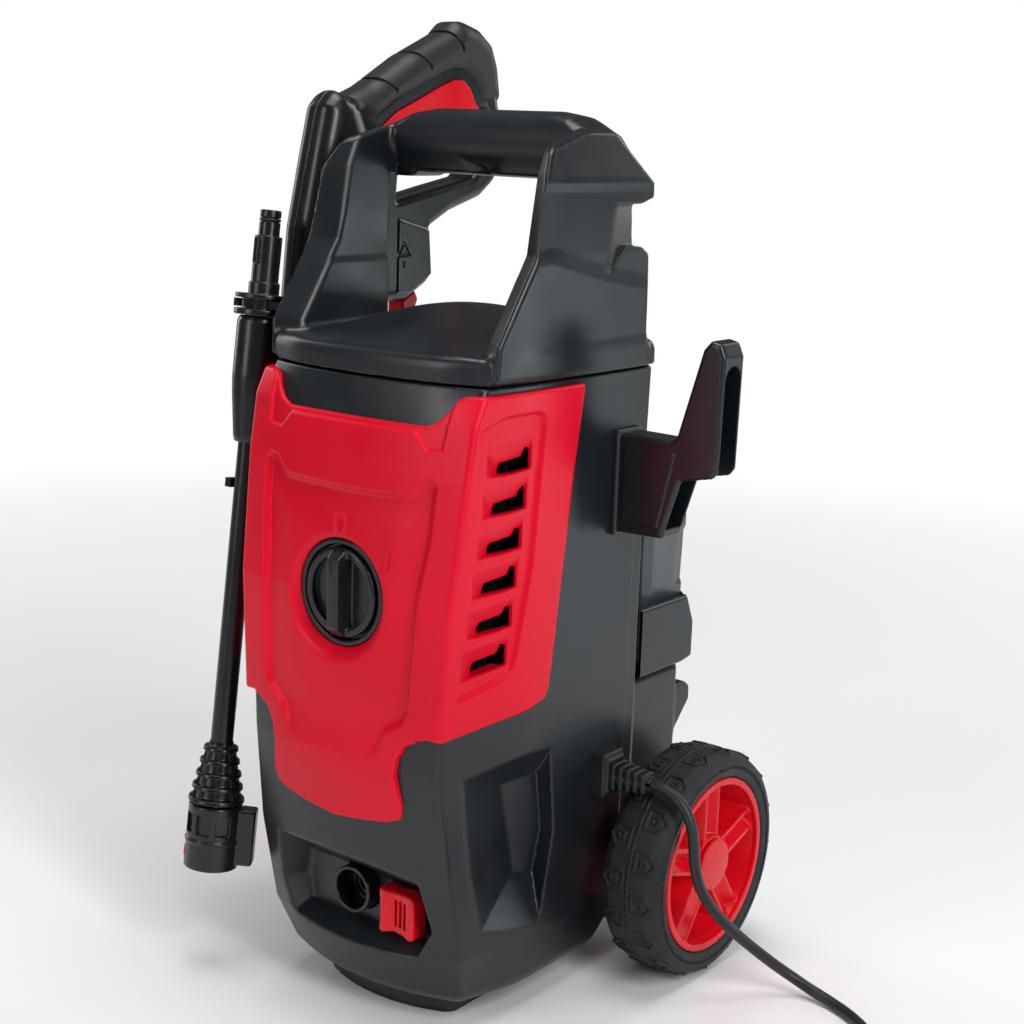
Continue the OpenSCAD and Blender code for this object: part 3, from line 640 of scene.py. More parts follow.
def outlet_recess(x, y, z):
    """The scooped recess around the hose outlet, with sloped walls."""
    walls = [
        ((0, -118, 95.5), (10, -118, 95.3), (0, -94, 79)),
        ((0, -92, 51), (10, -92, 51), (0, -106, 41)),
        ((-52, -108, 66), (-47, -108, 92), (-42, -92, 66)),
        ((-52, -106, 64), (-42, -92, 60), (-43, -102, 42)),
        ((54, -104, 64), (48, -92, 64), (48, -108, 92)),
        ((54, -101, 62), (42, -100, 42), (48, -92, 60)),
    ]
    return crease(hollow(x, y, z, (0, -100, 65), walls, 0.8), y + 92, 2.0)


def side_pocket(x, y, z):
    """The faceted pocket in each side, cut to a slanted floor."""
    rim = ((66.6, -96, 145), (75, -33, 147), (74.2, -26, 100), (73.4, -35, 50), (67.5, -76, 60))
    floor = ((60.5, -60, 131), (64.6, -31, 130), (64.6, -31, 72), (64.6, -34.5, 72), (61.5, -45.5, 77))
    walls = [(rim[k], floor[k], rim[(k + 1) % 5]) for k in range(5)]
    walls.append((floor[0], floor[4], floor[1]))
    return hollow(np.abs(x), y, z, (71.5, -50, 105), walls, 0.5)


def casing_solid(x, y, z):
    """Both casings as one solid, before they are split."""
    return only(only(casing(x, y, z), FRONT_FOOT - z, 9), z - SEAM_Z + SEAM_GAP, 0.8)


KNOB_Z = 235
DISH_R = 36
DISH_FLOOR_Y = -114.5
OUTLET = (-4, 67)
VENT_OPENING = Outline([(-96, 322), (-46, 322), (-58, 196), (-107, 196)], 2)


def front_casing(x, y, z):
    """The front shell, open at the back, with its recesses lined and its openings cut."""
    off, recess, pocket = casing(x, y, z), outlet_recess(x, y, z), side_pocket(x, y, z)
    solid = less(casing_solid(x, y, z), np.maximum(off + WALL, FRONT_FOOT + WALL - z))
    solid = less(both(solid, only(recess - WALL, off + 1), 1.5), recess, 1.6)
    solid = less(both(solid, only(pocket - WALL, off + 1), 1.0), pocket, 0.9)
    solid = cut(
        solid,
        (rod(x - OUTLET[0], z - OUTLET[1], y, 13.2, -100, -80), 0),
        (block(x, y, z, (14.2, -97, 56.5), (47.2, -85, 71.5), 1.5), 0.6),
        (rod(x, z - KNOB_Z, y, DISH_R + 1, -130, -109), 0),
        (slab(VENT_OPENING(y, z), np.abs(x), 45, 90), 0),
        (rod(y - GLAND_Y, z - GLAND_Z, x, 5, 60, 90), 0),
    )
    return only(solid, y - SPLIT_Y + SPLIT_GAP, 0.8)


BULGE = Outline([(20, 28), (62, 18), (90, 22), (100, 34), (100, 165), (20, 165)], 3)
LIP = Outline([(90, 150), (111, 150), (116, 146), (116, 138), (99, 120), (90, 120)], 1)
AXLE = (63, 65)


def rear_casing(x, y, z):
    """The rear shell with its axle bulge, back lip, axle bosses and ribs."""
    side = np.abs(x)
    upper = only(casing_solid(x, y, z), casing(x, y, z) + 1.2, 2)
    bulge = slab(BULGE(y, z), side, -1, 70, 5)
    lip = slab(LIP(y, z), side, -1, 68, 1.5)
    boss = rod(y - AXLE[0], z - AXLE[1], side, 13, 60, 86, 1.5)
    rib = only(only(np.abs(side - 30) - 1.6, np.abs(y - 99) - 3.2, 0.8), np.abs(z - 75) - 38, 1)
    solid = joined(upper, (bulge, 3), (lip, 2), (boss, 2.5), (rib, 1.2))
    inside = np.minimum(
        only(casing(x, y, z) + WALL, FRONT_FOOT + WALL - z),
        slab(BULGE(y, z) + WALL, side, -1, 70 - WALL),
    )
    axle = rod(y - AXLE[0], z - AXLE[1], side, 6.1, -1, 100)
    inlet = rod(x, z - 98, y, 9.3, 90, 120)
    return only(cut(solid, (inside, 0), (axle, 0), (inlet, 0.6)), SPLIT_Y + SPLIT_GAP - y, 0.8)


# ---- Fascia ----

FASCIA_PROUD = 4.0
FASCIA_FRONT = Outline(
    mirrored([
        (0, 325), (46, 325), (52, 328), (56.5, 333), (60, 338.5), (64, 341), (90, 342),
        (90, 167), (60, 171), (47.5, 165), (43, 157), (41.4, 148), (44.6, 131), (43, 124),
        (35, 120.5), (18, 118), (0, 116),
    ]), 1.5,
)
FASCIA_SIDE = Outline([
    (-160, 90), (-120.5, 90), (-119.5, 169.5), (-57, 175.6), (-45, 179), (-38, 186), (-33, 200),
    (-14.6, 337), (-17, 341), (-23, 342), (-160, 345),
], 1.5)
FIELD = Outline(
    mirrored([
        (0, 291), (41, 292), (47.5, 299.5), (55, 301), (58.3, 297.5), (57.6, 270), (54, 245),
        (52.4, 215), (50.5, 183), (47, 176), (37, 169.5), (33, 160), (28, 152), (0, 151),
    ]), 1.5,
)
SHELF = Outline(
    mirrored([
        (0, 321.3), (41.6, 321.3), (48.6, 313.3), (58.7, 314.4), (62, 345), (0, 345),
    ]), 0.5,
)
VENT_FRAME = Outline([
    (-99, 326), (-82, 331.4), (-58, 331.8), (-52, 329.5), (-51, 323), (-57.5, 252),
    (-68, 203), (-71, 198), (-80, 194), (-108, 189),
], 1.5)
LOUVRE_COUNT = 6
LOUVRE_PITCH = 20
LOUVRE_TOP = 311
LOUVRE_BACK = -59.2
LOUVRE_LOW = 302.4
LOUVRE_LONG = 35
INNER_X = 40  # the fascia's sides lie outside this
FRONT_HALF, FRONT_Y = 54, -126  # the side outline cuts nothing nearer the middle


def louvre_place(y, z):
    """How far behind its opening's back edge a point lies, and how far above its lower edge."""
    row = np.clip(np.round((LOUVRE_TOP - z) / LOUVRE_PITCH), 0, LOUVRE_COUNT - 1)
    back = y - LOUVRE_BACK + 2.5 * row
    return back, z - LOUVRE_LOW + LOUVRE_PITCH * row - 0.10 * back


def louvres(x, y, z, off):
    """The scoops between the louvre bars, each deepest at its lower back corner."""
    into = FASCIA_PROUD - off
    back, height = louvre_place(y, z)
    front = -(back + LOUVRE_LONG)
    opening = crease(crease(height - 17, -height, 0.6), crease(back, front, 0.6), 0.6)
    blade = (into - 9.6 + 0.46 * height) * 0.908
    slant = (into - 1.5 + 0.42 * front) * 0.92
    scoop = crease(crease(opening, blade, 0.6), slant, 0.6)
    return np.maximum(scoop, INNER_X - np.abs(x))


def louvre_gaps(x, y, z, off):
    """The open slots under the louvre blades."""
    back, height = louvre_place(y, z)
    low = crease(np.abs(back + 6) - 13, np.abs(height - 2.4) - 3.7, 1)
    tall = crease(np.abs(back - 1.5) - 4.5, np.abs(height - 7.2) - 6.8, 1)
    deep = FASCIA_PROUD - off
    return np.maximum(np.minimum(low, tall), np.maximum(INNER_X - np.abs(x), 5.2 - deep))


def fascia_relief(x, y, z):
    """How far the fascia's face stands off the casing."""
    side = np.abs(x)
    on_front = ramp(72 - side, 0, 6)
    within = -FIELD(x, z)
    sunk = 2.9 * ramp(within, -0.5, 4.5) - 1.1 * ramp(within, 4, 24)
    proud = FASCIA_PROUD - sunk * ramp(z, 150, 176) * on_front
    proud = proud - 1.6 * ramp(-SHELF(x, z), 0, 1.6) * on_front
    one = np.maximum(np.abs(x - 34.5) - 0.8, np.abs(z - 256.5) - 4.6)
    nought = np.abs(np.hypot(x + 1, 0.8 * (z - 271)) - 3.6) - 0.7
    proud = proud + 0.6 * ramp(-np.minimum(one, nought), -0.4, 0.3) * on_front
    proud = proud - 2.6 * ramp(147.5 - z, 0, 30) * on_front
    return proud - 2.5 * ramp(-VENT_FRAME(y, z), 0, 2.4) * ramp(side, 66, 69)


def fascia(x, y, z):
    """The red front shell, wrapped round both sides, with its louvres and the knob's dish."""
    off = casing(x, y, z)
    beside_front = np.where(np.abs(x) < FRONT_HALF, FRONT_Y, y)
    edge = np.maximum(FASCIA_FRONT(x, z), FASCIA_SIDE(beside_front, z))
    behind = ((y + 33) * 137 - (z - 200) * 18.4) / 138.2
    bevel = off - fascia_relief(x, y, z) + 0.62 * np.maximum(behind + 7.5, 0)
    plate = only(only(bevel, edge, 1.6), -5.5 - off)
    scoop = louvres(x, y, z, off)
    cups = only(only(scoop - 2.6, off - 0.5), VENT_FRAME(y, z) + 1)
    solid = cut(both(plate, cups), (scoop, 0.5), (louvre_gaps(x, y, z, off), 0.4))
    radius = np.hypot(x, z - KNOB_Z)
    back_plate = only(radius - DISH_R, np.maximum(off - 1, y - DISH_FLOOR_Y - 5))
    cone = (radius - 27.4 - 0.95 * (DISH_FLOOR_Y - 0.5 - y)) * 0.72
    dish = crease(cone, y - DISH_FLOOR_Y, 2.5)
    hole = rod(x, z - KNOB_Z, y, 28.2, -130, -90)
    return cut(np.minimum(solid, back_plate), (dish, 1.6), (hole, 0.6))


# ---- Top cover and handle ----

DECK_Z = 359
LEG_FRONT = Outline(
    mirrored([(0, 479), (40, 479), (54, 476), (68, 466), (76, 442), (78, 407), (76.6, 346)]), 1
)
LEG_SIDE = Outline([
    (-91, 346), (-90, 365), (-62, 407), (-55, 446), (-47, 464), (-26, 479), (4, 479), (42, 442),
    (42, 434), (27, 430), (29, 410), (37, 405), (40, 346),
], 1)
OPENING = Outline(mirrored([(0, 443), (48, 443), (58, 433), (62, 406), (62, 340), (0, 340)]), 5)
BAR_Y = 5.5
BAR_Z = 461
LEG_X = 62
LEFT_LEG_BACK = -12


def top_cover(x, y, z):
    """The domed deck with the carrying handle's two legs and grip bar."""
    side = np.abs(x)
    off = casing(x, y, np.minimum(z, SEAM_Z))
    crown = (1 - np.clip((x / 64) ** 2, 0, 1)) * (1 - np.clip(((y + 22) / 74) ** 2, 0, 1))
    rise = z - DECK_Z - 17 * crown
    deck = crease(off, rise * 0.9, 6)
    deck = only(deck, SEAM_Z + SEAM_GAP - z, 0.8)
    front = LEG_FRONT(x, z)
    slant = 0.7 * np.maximum(76 - side, 0)
    leg = only(front, only(LEG_SIDE(y, z), LEG_SIDE(y - slant, z) * 0.85), 3)
    leg = only(leg, (z - 459.5 - 0.27 * (y + 43)) * 0.965, 3)
    leg = less(leg, OPENING(x, z), 2.5)
    upper = only(side - LEG_X, 396 - z, 2)
    short = only(x + 30, np.maximum(LEFT_LEG_BACK - y, z - 440), 3)
    leg = cut(
        leg,
        (only(upper, y + 8), 2.5),
        (only(upper, 20 - y), 2.5),
        (np.maximum(short, 361 - z), 2),
        (np.maximum(x + LEG_X, 27 - y), 3),
    )
    step = np.interp(y, (-75, -50, 0, 30), (405, 408, 397, 392))
    recess = 1.3 * ramp(z, step - 6, step + 4) * ramp(446 - z, 0, 9)
    leg = np.maximum(leg, front + recess)
    notch = wall(side, y, z, (80, 30, 420), (76, 3, 420), (76, 3, 430), (70.5, 30, 420))
    sill = np.interp(y, (3, 16, 30), (397, 410, 409))
    leg = less(leg, np.maximum(notch, np.maximum(z - 431, (sill - z) * 0.75)), 0.6)
    bar = rod((y - BAR_Y) / 1.03, z - BAR_Z, side, 18, -1, 70)
    bar = only(bar, front + 1.8, 4)
    leg = both(leg, bar, 3.5)
    inside = np.maximum(np.maximum(off + WALL, rise + 8), SEAM_Z - 5 - z)
    return less(only(both(deck, leg, 5), SEAM_Z + SEAM_GAP - z, 0.8), inside)


def foot_plan(x, y):
    """Plan of the foot under the casing's front."""
    return only(np.hypot(x, y - 10) - 95, np.maximum(np.abs(x) - 46, y - 10), 6)


def foot_plate(x, y, z):
    return only(foot_plan(x, y), between(z, 3.1, 12), 0.5)


def foot_sole(x, y, z):
    return only(foot_plan(x, y) + 1.5, between(z, 0.05, 3), 0.7)


CASING_BOX = ((-82, -128, 8), (82, 42, 350))
moulding("front_case", "front_casing", front_casing, *CASING_BOX, 1.4, CASE_BLACK)
moulding("foot_plate", "base_plinth", foot_plate, (-66, -90, 0), (66, 14, 15), 1.2, CASE_BLACK)
moulding("foot_sole", "foot_pad", foot_sole, (-66, -90, -3), (66, 14, 6), 1.0, SEAL_RUBBER)
moulding("rear_case", "rear_casing", rear_casing, (-90, 34, 8), (90, 120, 350), 1.6, CASE_BLACK)
moulding("red_fascia", "fascia", fascia, (-84, -128, 112), (84, -8, 346), 0.85, RED)
moulding("handle_cover", "top_cover", top_cover, (-84, -108, 342), (84, 60, 484), 1.3, CASE_BLACK)


# ---- Wheels ----

WHEEL_IN, WHEEL_OUT, WHEEL_R = 87, 125, 65
TYRE = Outline([
    (50, 90), (51.5, 88.4), (57, 87.4), (61.8, 89.2), (63.9, 94), (64.5, 106), (63.9, 118),
    (61.8, 122.8), (57, 124.4), (51.5, 123.6), (50, 122),
], 0.5)
LUG_COUNT = 17
SPOKE_STEP = math.radians(72)


def about_axle(x, y, z):
    """Distance from the axle, angle about it and distance from the middle plane."""
    return about(AXLE, y, z), np.arctan2(y - AXLE[0], z - AXLE[1]), np.abs(x)


def house(p, q):
    """Distance outside a small five-sided tread block, measured from its middle."""
    side = np.abs(p)
    return np.maximum(np.maximum(side, -q), 0.62 * side + 0.78 * q)


def tyre(x, y, z):
    radius, angle, side = about_axle(x, y, z)
    body = TYRE(radius, side)
    middle = (WHEEL_IN + WHEEL_OUT) / 2
    aside = np.abs(side - middle)
    pitch = 2 * math.pi / LUG_COUNT
    beat = 0.5 * pitch * (side > middle)
    turn = angle + beat - pitch * np.round((angle + beat) / pitch)
    size = house(turn * WHEEL_R, aside - 8.6)
    ridges = np.minimum(np.abs(size - 5.4) - 0.55, np.maximum(size - 2.2, 1.1 - size))
    top = 64.2 + 0.75 * ramp(-aside, -15, -12)
    raised = np.maximum(np.minimum(ridges, aside - 0.4), radius - top)
    solid = both(body, np.maximum(raised, 60 - radius), 0.3)
    return less(solid, rod(radius - 56.2, 0, side, 0.7, 123.4, 126), 0.3)


def wheel_rim(x, y, z):
    radius, angle, side = about_axle(x, y, z)
    turn = angle - SPOKE_STEP * np.round(angle / SPOKE_STEP)
    across = np.abs(radius * np.sin(turn))
    ring = only(only(radius - 50, 46 - radius), between(side, 90, 123.4), 0.8)
    slope_in = (46.6 - 0.30 * (122.5 - side) - radius) * 0.95
    lip = only(only(radius - 49, slope_in), between(side, 101, 123.4), 0.8)
    top = crease(side - 119.6, (side - 115.0 - 0.85 * across) * 0.76, 0.5)
    flank = (side - 119.6 + 2.7 * (across - 7.4)) * 0.35
    arm = only(crease(top, flank, 0.5), np.maximum(102 - side, radius - 48), 0.8)
    hub = only(radius - 16, np.maximum(WHEEL_IN + 1 - side, side - 120.6), 1.0)
    solid = both(both(both(ring, lip), arm, 1.2), hub, 1.6)
    return less(less(solid, np.maximum(radius - 6.1, side - 118)), rod(radius, 0, side, 12, 118.8, 130))


def wheel_cap(x, y, z):
    radius, _, side = about_axle(x, y, z)
    dome = side - 124.0 + 0.0035 * radius**2
    disc = only(radius - 14.7, np.maximum(121 - side, dome), 0.7)
    return np.minimum(disc, only(radius - 12.4, between(side, 119.5, 123), 0.4))


def add_wheels():
    for body, low, high in (("wheel_right", 85, 127), ("wheel_left", -127, -85)):
        box = ((low, -4, -2), (high, 130, 132))
        moulding(body + "_tread", body + "_tyre", tyre, *box, 0.85, TYRE_RUBBER, body)
        moulding(body + "_spokes", body + "_rim", wheel_rim, *box, 0.85, GLOSS_RED, body)
        moulding(body + "_disc", body + "_cap", wheel_cap, *box, 0.6, GLOSS_RED, body)


add_wheels()


# ---- Knob, button and outlet ----


def switch_knob(x, y, z):
    """The dial's disc, its grip bar with a pointer notch, and the shaft behind it."""
    dz = z - KNOB_Z
    radius = np.hypot(x, dz)
    disc = only(radius - 23.6, np.maximum(y + 111.8, -117 - y), 1.6)
    well = only(np.maximum(radius - 19.2, y + 113.6), 4.4 - np.abs(x), 0.8)
    knob = less(disc, well, 0.7)
    taper = np.abs(x) - 4.9 + 0.25 * (-y - 117)
    tip = np.abs(dz) - 22.2 + 0.9 * np.maximum(-y - 118.5, 0)
    bar = only(only(taper, between(y, -123.2, -113), 1.3), tip, 1.0)
    knob = both(knob, bar, 0.9)
    pointer = only(np.abs(x) - 0.8, between(dz, 11.5, 21))
    knob = less(knob, np.maximum(pointer, y + 122.5), 0.2)
    grip = np.maximum(0.3 * np.cos(36 * np.arctan2(x, dz)) * ramp(radius, 21.5, 23), 0)
    return np.minimum(knob + grip * ramp(y, -116.2, -115), rod(x, dz, y, 4, -116, -98))


def dial_well(x, y, z):
    """The black rim and floor of the round well that the knob turns in."""
    radius = np.hypot(x, z - KNOB_Z)
    ring = only(radius - 28, between(y, -115.8, -109.4), 0.8)
    ring = less(ring, only(radius - 25, y + 111.6), 0.8)
    return less(ring, radius - 5)


BUTTON_Z = 63.5
SLOT_X = 31.6  # the middle one of three, with a fourth on its own at the left edge
SLOT_PITCH = 3.5
LEFT_SLOT_X = 18.4
# x and y of the button's face, seen from above
BUTTON_FACE = np.array([
    (15, -98.6), (18.6, -103.2), (21.4, -104), (27, -101.2), (34, -102), (39, -103.8), (42, -103.6),
])


def release_button(x, y, z):
    """The waisted button with grip slots, and the stem that carries it."""
    height = np.abs(z - BUTTON_Z)
    face = np.interp(x, *BUTTON_FACE.T)
    waist = np.interp(x, (15, 19, 27, 36, 42), (11.2, 12.5, 11.2, 12.0, 12.5))
    body = only(np.abs(x - 28.5) - 13.5, height - waist, 3.2)
    body = only(body, np.maximum((face - y) * 0.8, y + 92.3), 1.3)
    aside = x - SLOT_X - SLOT_PITCH * np.clip(np.round((x - SLOT_X) / SLOT_PITCH), -1, 1)
    slot = np.minimum(np.abs(aside), np.abs(x - LEFT_SLOT_X))
    slots = only(only(slot - 0.95, height - 7.4, 0.8), y + 98.8)
    body = less(body, slots, 0.35)
    return np.minimum(body, block(x, y, z, (19, -94, 59), (37, -84, 68), 0.5))


def outlet_ring(x, y, z):
    u, v = x - OUTLET[0], z - OUTLET[1]
    ring = rod(u, v, y, 13, -101, -61.5, 0.9)
    ring = less(ring, rod(u, v, y, 10.7, -110, -87), 0.8)
    return less(ring, rod(u, v, y, 6.5, -95, -75), 0.6)


moulding("switch_dial", "switch_knob", switch_knob, (-27, -129, 208), (27, -96, 262), 0.6,
         SATIN_BLACK, body="knob", slot="dark_plastic")
moulding("dial_well", None, dial_well, (-30, -118, 205), (30, -107, 265), 0.6, SATIN_BLACK,
         slot="dark_plastic")
moulding("hose_release", "release_button", release_button, (13, -106, 49), (44, -82, 78), 0.5,
         GLOSS_RED, body="button")
moulding("outlet_ring", "outlet_socket", outlet_ring, (-19, -103, 52), (11, -60, 82), 0.7,
         SATIN_BLACK, slot="dark_plastic")


# ---- Hooks, tray and bottle ----

HOOK = Outline([
    (73, 258), (107, 259), (117, 291), (136, 295), (139, 299), (140, 358), (137, 364.6),
    (131, 366), (126.5, 361), (113, 314), (110, 311.5), (78, 312), (73, 308),
], 1.0)
HOOK_ROOM = Outline(
    [(80, 264), (160, 264), (160, 370), (132, 370), (129, 357), (116, 308), (80, 307)], 0.5
)
HOOK_PANEL = Outline([(82, 265), (104.4, 264.5), (113.5, 305.5), (82, 305.5)], 0.5)


def side_hook(x, y, z):
    side = np.abs(x)
    body = slab(HOOK(side, z), y, 14, 34, 2.6)
    arch = np.hypot(y - 24, np.maximum(z - 345.5, 0)) - 7.6
    room = only(HOOK_ROOM(side, z), arch, 1.0)
    body = less(body, room, 0.7)
    body = both(body, slab(HOOK_PANEL(side, z), y, 13, 15, 0.5), 0.3)
    flange = block(side, y, z, (72, 12.8, 256.5), (78.5, 35.2, 313.5), 1.2)
    rib = block(side, y, z, (116, 22.9, 266), (127, 25.1, 330), 0.8)
    rib = np.maximum(rib, HOOK(side, z) + 1)
    return both(both(body, flange, 0.6), rib, 0.6)


TRAY = Outline([
    (50, 165), (100, 165), (118, 168), (125, 178), (125, 200), (119, 205), (50, 205),
], 0.5)


def rear_tray(x, y, z):
    side = np.abs(x)
    body = slab(TRAY(y, z), side, -1, 72, 2.2)
    body = crease(body, (side + y - 181 + 0.45 * np.maximum(z - 188, 0)) * 0.7, 1.0)
    room = block(side, y, z, (4, 60, 170), (67.5, 120, 240), 3)
    room = crease(room, (side + y - 173) * 0.7, 1.5)
    return less(body, room, 1.4)


BOTTLE_PLAN = Outline(
    [(12, 70), (60, 70), (64, 76), (62, 113), (56, 119), (16, 119), (10, 113), (10, 76)], 2
)


def detergent_bottle(x, y, z):
    taper = 1.6 * (1 - ramp(z, 171, 250)) + 0.5
    grip = 1.1 * (ramp(z, 208, 212) - ramp(z, 240, 244)) * ramp(y, 100, 112)
    body = only(BOTTLE_PLAN(x, y) + taper + grip, between(z, 170.3, 267.5), 6.5)
    return both(body, rod(x - 36, y - 94, z, 13, 262, 274, 0.6), 2.5)


def bottle_cap(x, y, z):
    u, v = x - 36, y - 94
    flutes = 0.45 * np.cos(30 * np.arctan2(u, v)) * (ramp(z, 271, 272.5) - ramp(z, 282.5, 284))
    cap = only(np.hypot(u, v) - 15.5 - flutes, between(z, 268.5, 286), 1.4)
    return less(cap, rod(u, v, z, 13.2, 260, 281))


moulding("cable_hook_arm", "cable_hook", side_hook, (70, 10, 252), (144, 38, 370), 0.8, CASE_BLACK)
moulding("hose_hook_arm", "hose_hook", side_hook, (-144, 10, 252), (-70, 38, 370), 0.9, CASE_BLACK)
moulding("rear_pockets", "rear_tray", rear_tray, (-74, 54, 162), (74, 127, 208), 1.1, CASE_BLACK)
moulding("bottle", "detergent_bottle", detergent_bottle, (6, 66, 168), (68, 122, 277), 1.0, BOTTLE,
         body="bottle")
moulding("bottle_lid", "bottle_cap", bottle_cap, (18, 76, 266), (54, 112, 288), 0.7, SATIN_BLACK,
         body="bottle", slot="dark_plastic")


# ---- Cord outlet ----


def cable_gland(x, y, z):
    v, w = y - GLAND_Y, z - GLAND_Z
    flange = block(x, v, w, (73, -9.5, -12.5), (82.5, 9.5, 12.5), 1.6)
    step = block(x, v, w, (80, -7.6, -9.6), (84, 7.6, 9.6), 1.0)
    body = np.minimum(both(flange, step, 0.6), rod(v, w, x, 4.9, 66, 76))
    return less(body, rod(v, w, x, 3.15, 60, 90), 0.3)


def cord_relief(x, y, z):
    u, v = np.abs(y - GLAND_Y), np.abs(z - GLAND_Z)
    taper = 0.10 * (x - 82)
    core = only(u - 4.6 + 0.5 * taper, v - 4.9 + 0.5 * taper, 2.2)
    place = np.clip(np.round((x - 86) / 4.6), 0, 4)
    ribs = only(only(u - 7.4 + taper, v - 8.0 + taper, 2.4), np.abs(x - 86 - 4.6 * place) - 1.25, 0.6)
    spine = only(only(u - 7.0 + taper, v - 1.1, 0.4), x - 105)
    body = only(np.minimum(np.minimum(core, ribs), spine), between(x, 82, 108.3), 0.8)
    return less(body, rod(y - GLAND_Y, z - GLAND_Z, x, 3.1, 60, 120), 0.4)


moulding("cord_gland", "cable_gland", cable_gland, (64, 5, 107), (86, 29, 137), 0.6, SEAL_RUBBER)
moulding("cord_boot", "cord_relief", cord_relief, (80, 7, 111), (110, 27, 133), 0.5, CORD_RUBBER)


# ---- Lance ----

LANCE_AT = (-100, -113, 57)
LANCE_LEAN = math.radians(7.3)


def on_lance(field):
    """Places a field of u and v, across the lance, and w, up it from the nozzle's mouth."""
    lean_sin, lean_cos = math.sin(LANCE_LEAN), math.cos(LANCE_LEAN)

    def placed(x, y, z):
        dy, dz = y - LANCE_AT[1], z - LANCE_AT[2]
        return field(x - LANCE_AT[0], dy * lean_cos - dz * lean_sin, dy * lean_sin + dz * lean_cos)

    return placed


GRIP_PROFILE = Outline([
    (-9, 240), (8.6, 240), (9.4, 243), (12.0, 266), (12.8, 276), (12.8, 305.5), (11.6, 308.6), (-9, 308.6),
], 0.5)


@on_lance
def lance_grip(u, v, w):
    body = GRIP_PROFILE(np.hypot(u, v), w)
    notch = only(only(np.abs(u) - 2.6, w - 252, 1.0), 7.6 + 0.02 * w - np.abs(v), 0.4)
    body = less(body, np.maximum(notch, w - 250), 0.5)
    return less(body, rod(u, v, w, 6.3, 230, 300), 0.5)


@on_lance
def lance_spigot(u, v, w):
    window = only(np.abs(u) - 4.2, between(w, 313.2, 317.2), 0.5)
    neck = less(rod(u, v, w, 11, 311, 319), np.maximum(window, 9 - np.abs(v)), 0.3)
    upper = rod(u, v, w, 15, 318, 320.6, 0.5)
    body = joined(rod(u, v, w, 15, 309, 312.4, 0.6), (neck, 0.5), (upper, 0.5))
    stem = rod(u, v, w, 7.4, 320, 352, 0.5)
    keys = only(block(u, v, w, (-1.8, -9.2, 337), (1.8, 9.2, 351), 0.6), w - 351)
    collar = rod(u, v, w, 8.4, 320, 327, 0.5)
    seal_groove = np.maximum(4.1 - np.hypot(u, v), np.abs(w - 360.8) - 1.15)
    tip = less(rod(u, v, w, 5.7, 350, 366, 0.6), seal_groove)
    body = joined(body, (both(stem, keys, 0.4), 0.8), (collar, 0.4), (tip, 0.5))
    return less(body, rod(u, v, w, 2.5, 300, 370), 0.4)


@on_lance
def nozzle_carrier(u, v, w):
    radius = np.hypot(u, v)
    cone = only(radius - 12.4 + 0.165 * (w - 37), between(w, 37, 74), 0.8)
    place = np.clip(np.round((w - 39.3) / 7.2), 0, 4)
    ribs = only(radius - 15.6 + 0.205 * (w - 39.3), np.abs(w - 39.3 - 7.2 * place) - 1.25, 0.6)
    angle = np.arctan2(v, u)
    pitch = math.pi / 4
    across = radius * np.abs(np.sin(angle - pitch * np.round(angle / pitch)))
    webs = only(across - 1.0, np.maximum(radius - 14.2 + 0.19 * (w - 37), between(w, 37, 70)), 0.4)
    body = both(both(cone, ribs, 0.4), webs, 0.4)
    return less(body, rod(u, v, w, 6.3, 60, 80), 0.4)


MARK_ANGLE = 215


def turned(u, v, degrees):
    """(along, across) of a direction about the lance, for features set round the nozzle."""
    angle = math.radians(degrees)
    return u * math.cos(angle) + v * math.sin(angle), v * math.cos(angle) - u * math.sin(angle)


@on_lance
def nozzle_head(u, v, w):
    fin = block(*turned(u, v, 37), w, (8, -6, 3), (23.5, 6, 35), 1.6)
    ring = rod(u, v, w, 15.7, 15.2, 17.2, 0.6)
    body = joined(rod(u, v, w, 15, 0, 36.6, 1.2), (fin, 1.0), (ring, 0.6))
    body = cut(body, (rod(u, v, w, 11.6, -5, 13), 0.8), (rod(u, v, w, 3, 10, 40), 0.4))
    for degrees in (200, 245, 290, 335):
        along, across = turned(u, v, degrees)
        window = only(np.abs(across) - 3.9, np.abs(w - 26) - 5.6, 0.8)
        body = less(body, np.maximum(window, 12.2 - along), 0.5)
    along, across = turned(u, v, MARK_ANGLE)
    slot = only(np.abs(across) - 6.2, np.abs(w - 8.6) - 2.9, 1.0)
    return less(body, np.maximum(slot, 13.4 - along), 0.4)


@on_lance
def nozzle_mark(u, v, w):
    along, across = turned(u, v, MARK_ANGLE)
    bar = only(np.abs(across) - 5.9, np.abs(w - 8.6) - 2.6, 1.0)
    return only(bar, np.maximum(np.hypot(u, v) - 15.5, 12.4 - along), 0.5)


moulding("lance_handle", "lance_grip", lance_grip, (-114, -98, 290), (-86, -58, 366), 0.8,
         SATIN_BLACK, body="lance")
moulding("lance_coupling", "lance_spigot", lance_spigot, (-117, -90, 360), (-83, -46, 424), 0.6,
         SATIN_BLACK, body="lance")
moulding("nozzle_cage", "nozzle_carrier", nozzle_carrier, (-117, -126, 90), (-83, -84, 134), 0.55,
         SATIN_BLACK, body="lance")
moulding("nozzle_cap", "nozzle_head", nozzle_head, (-118, -132, 52), (-74, -84, 98), 0.6,
         SATIN_BLACK, body="nozzle")
moulding("nozzle_dot", "nozzle_mark", nozzle_mark, (-118, -132, 54), (-92, -100, 76), 0.5, GLOSS_RED,
         body="nozzle")


# ---- Gun ----

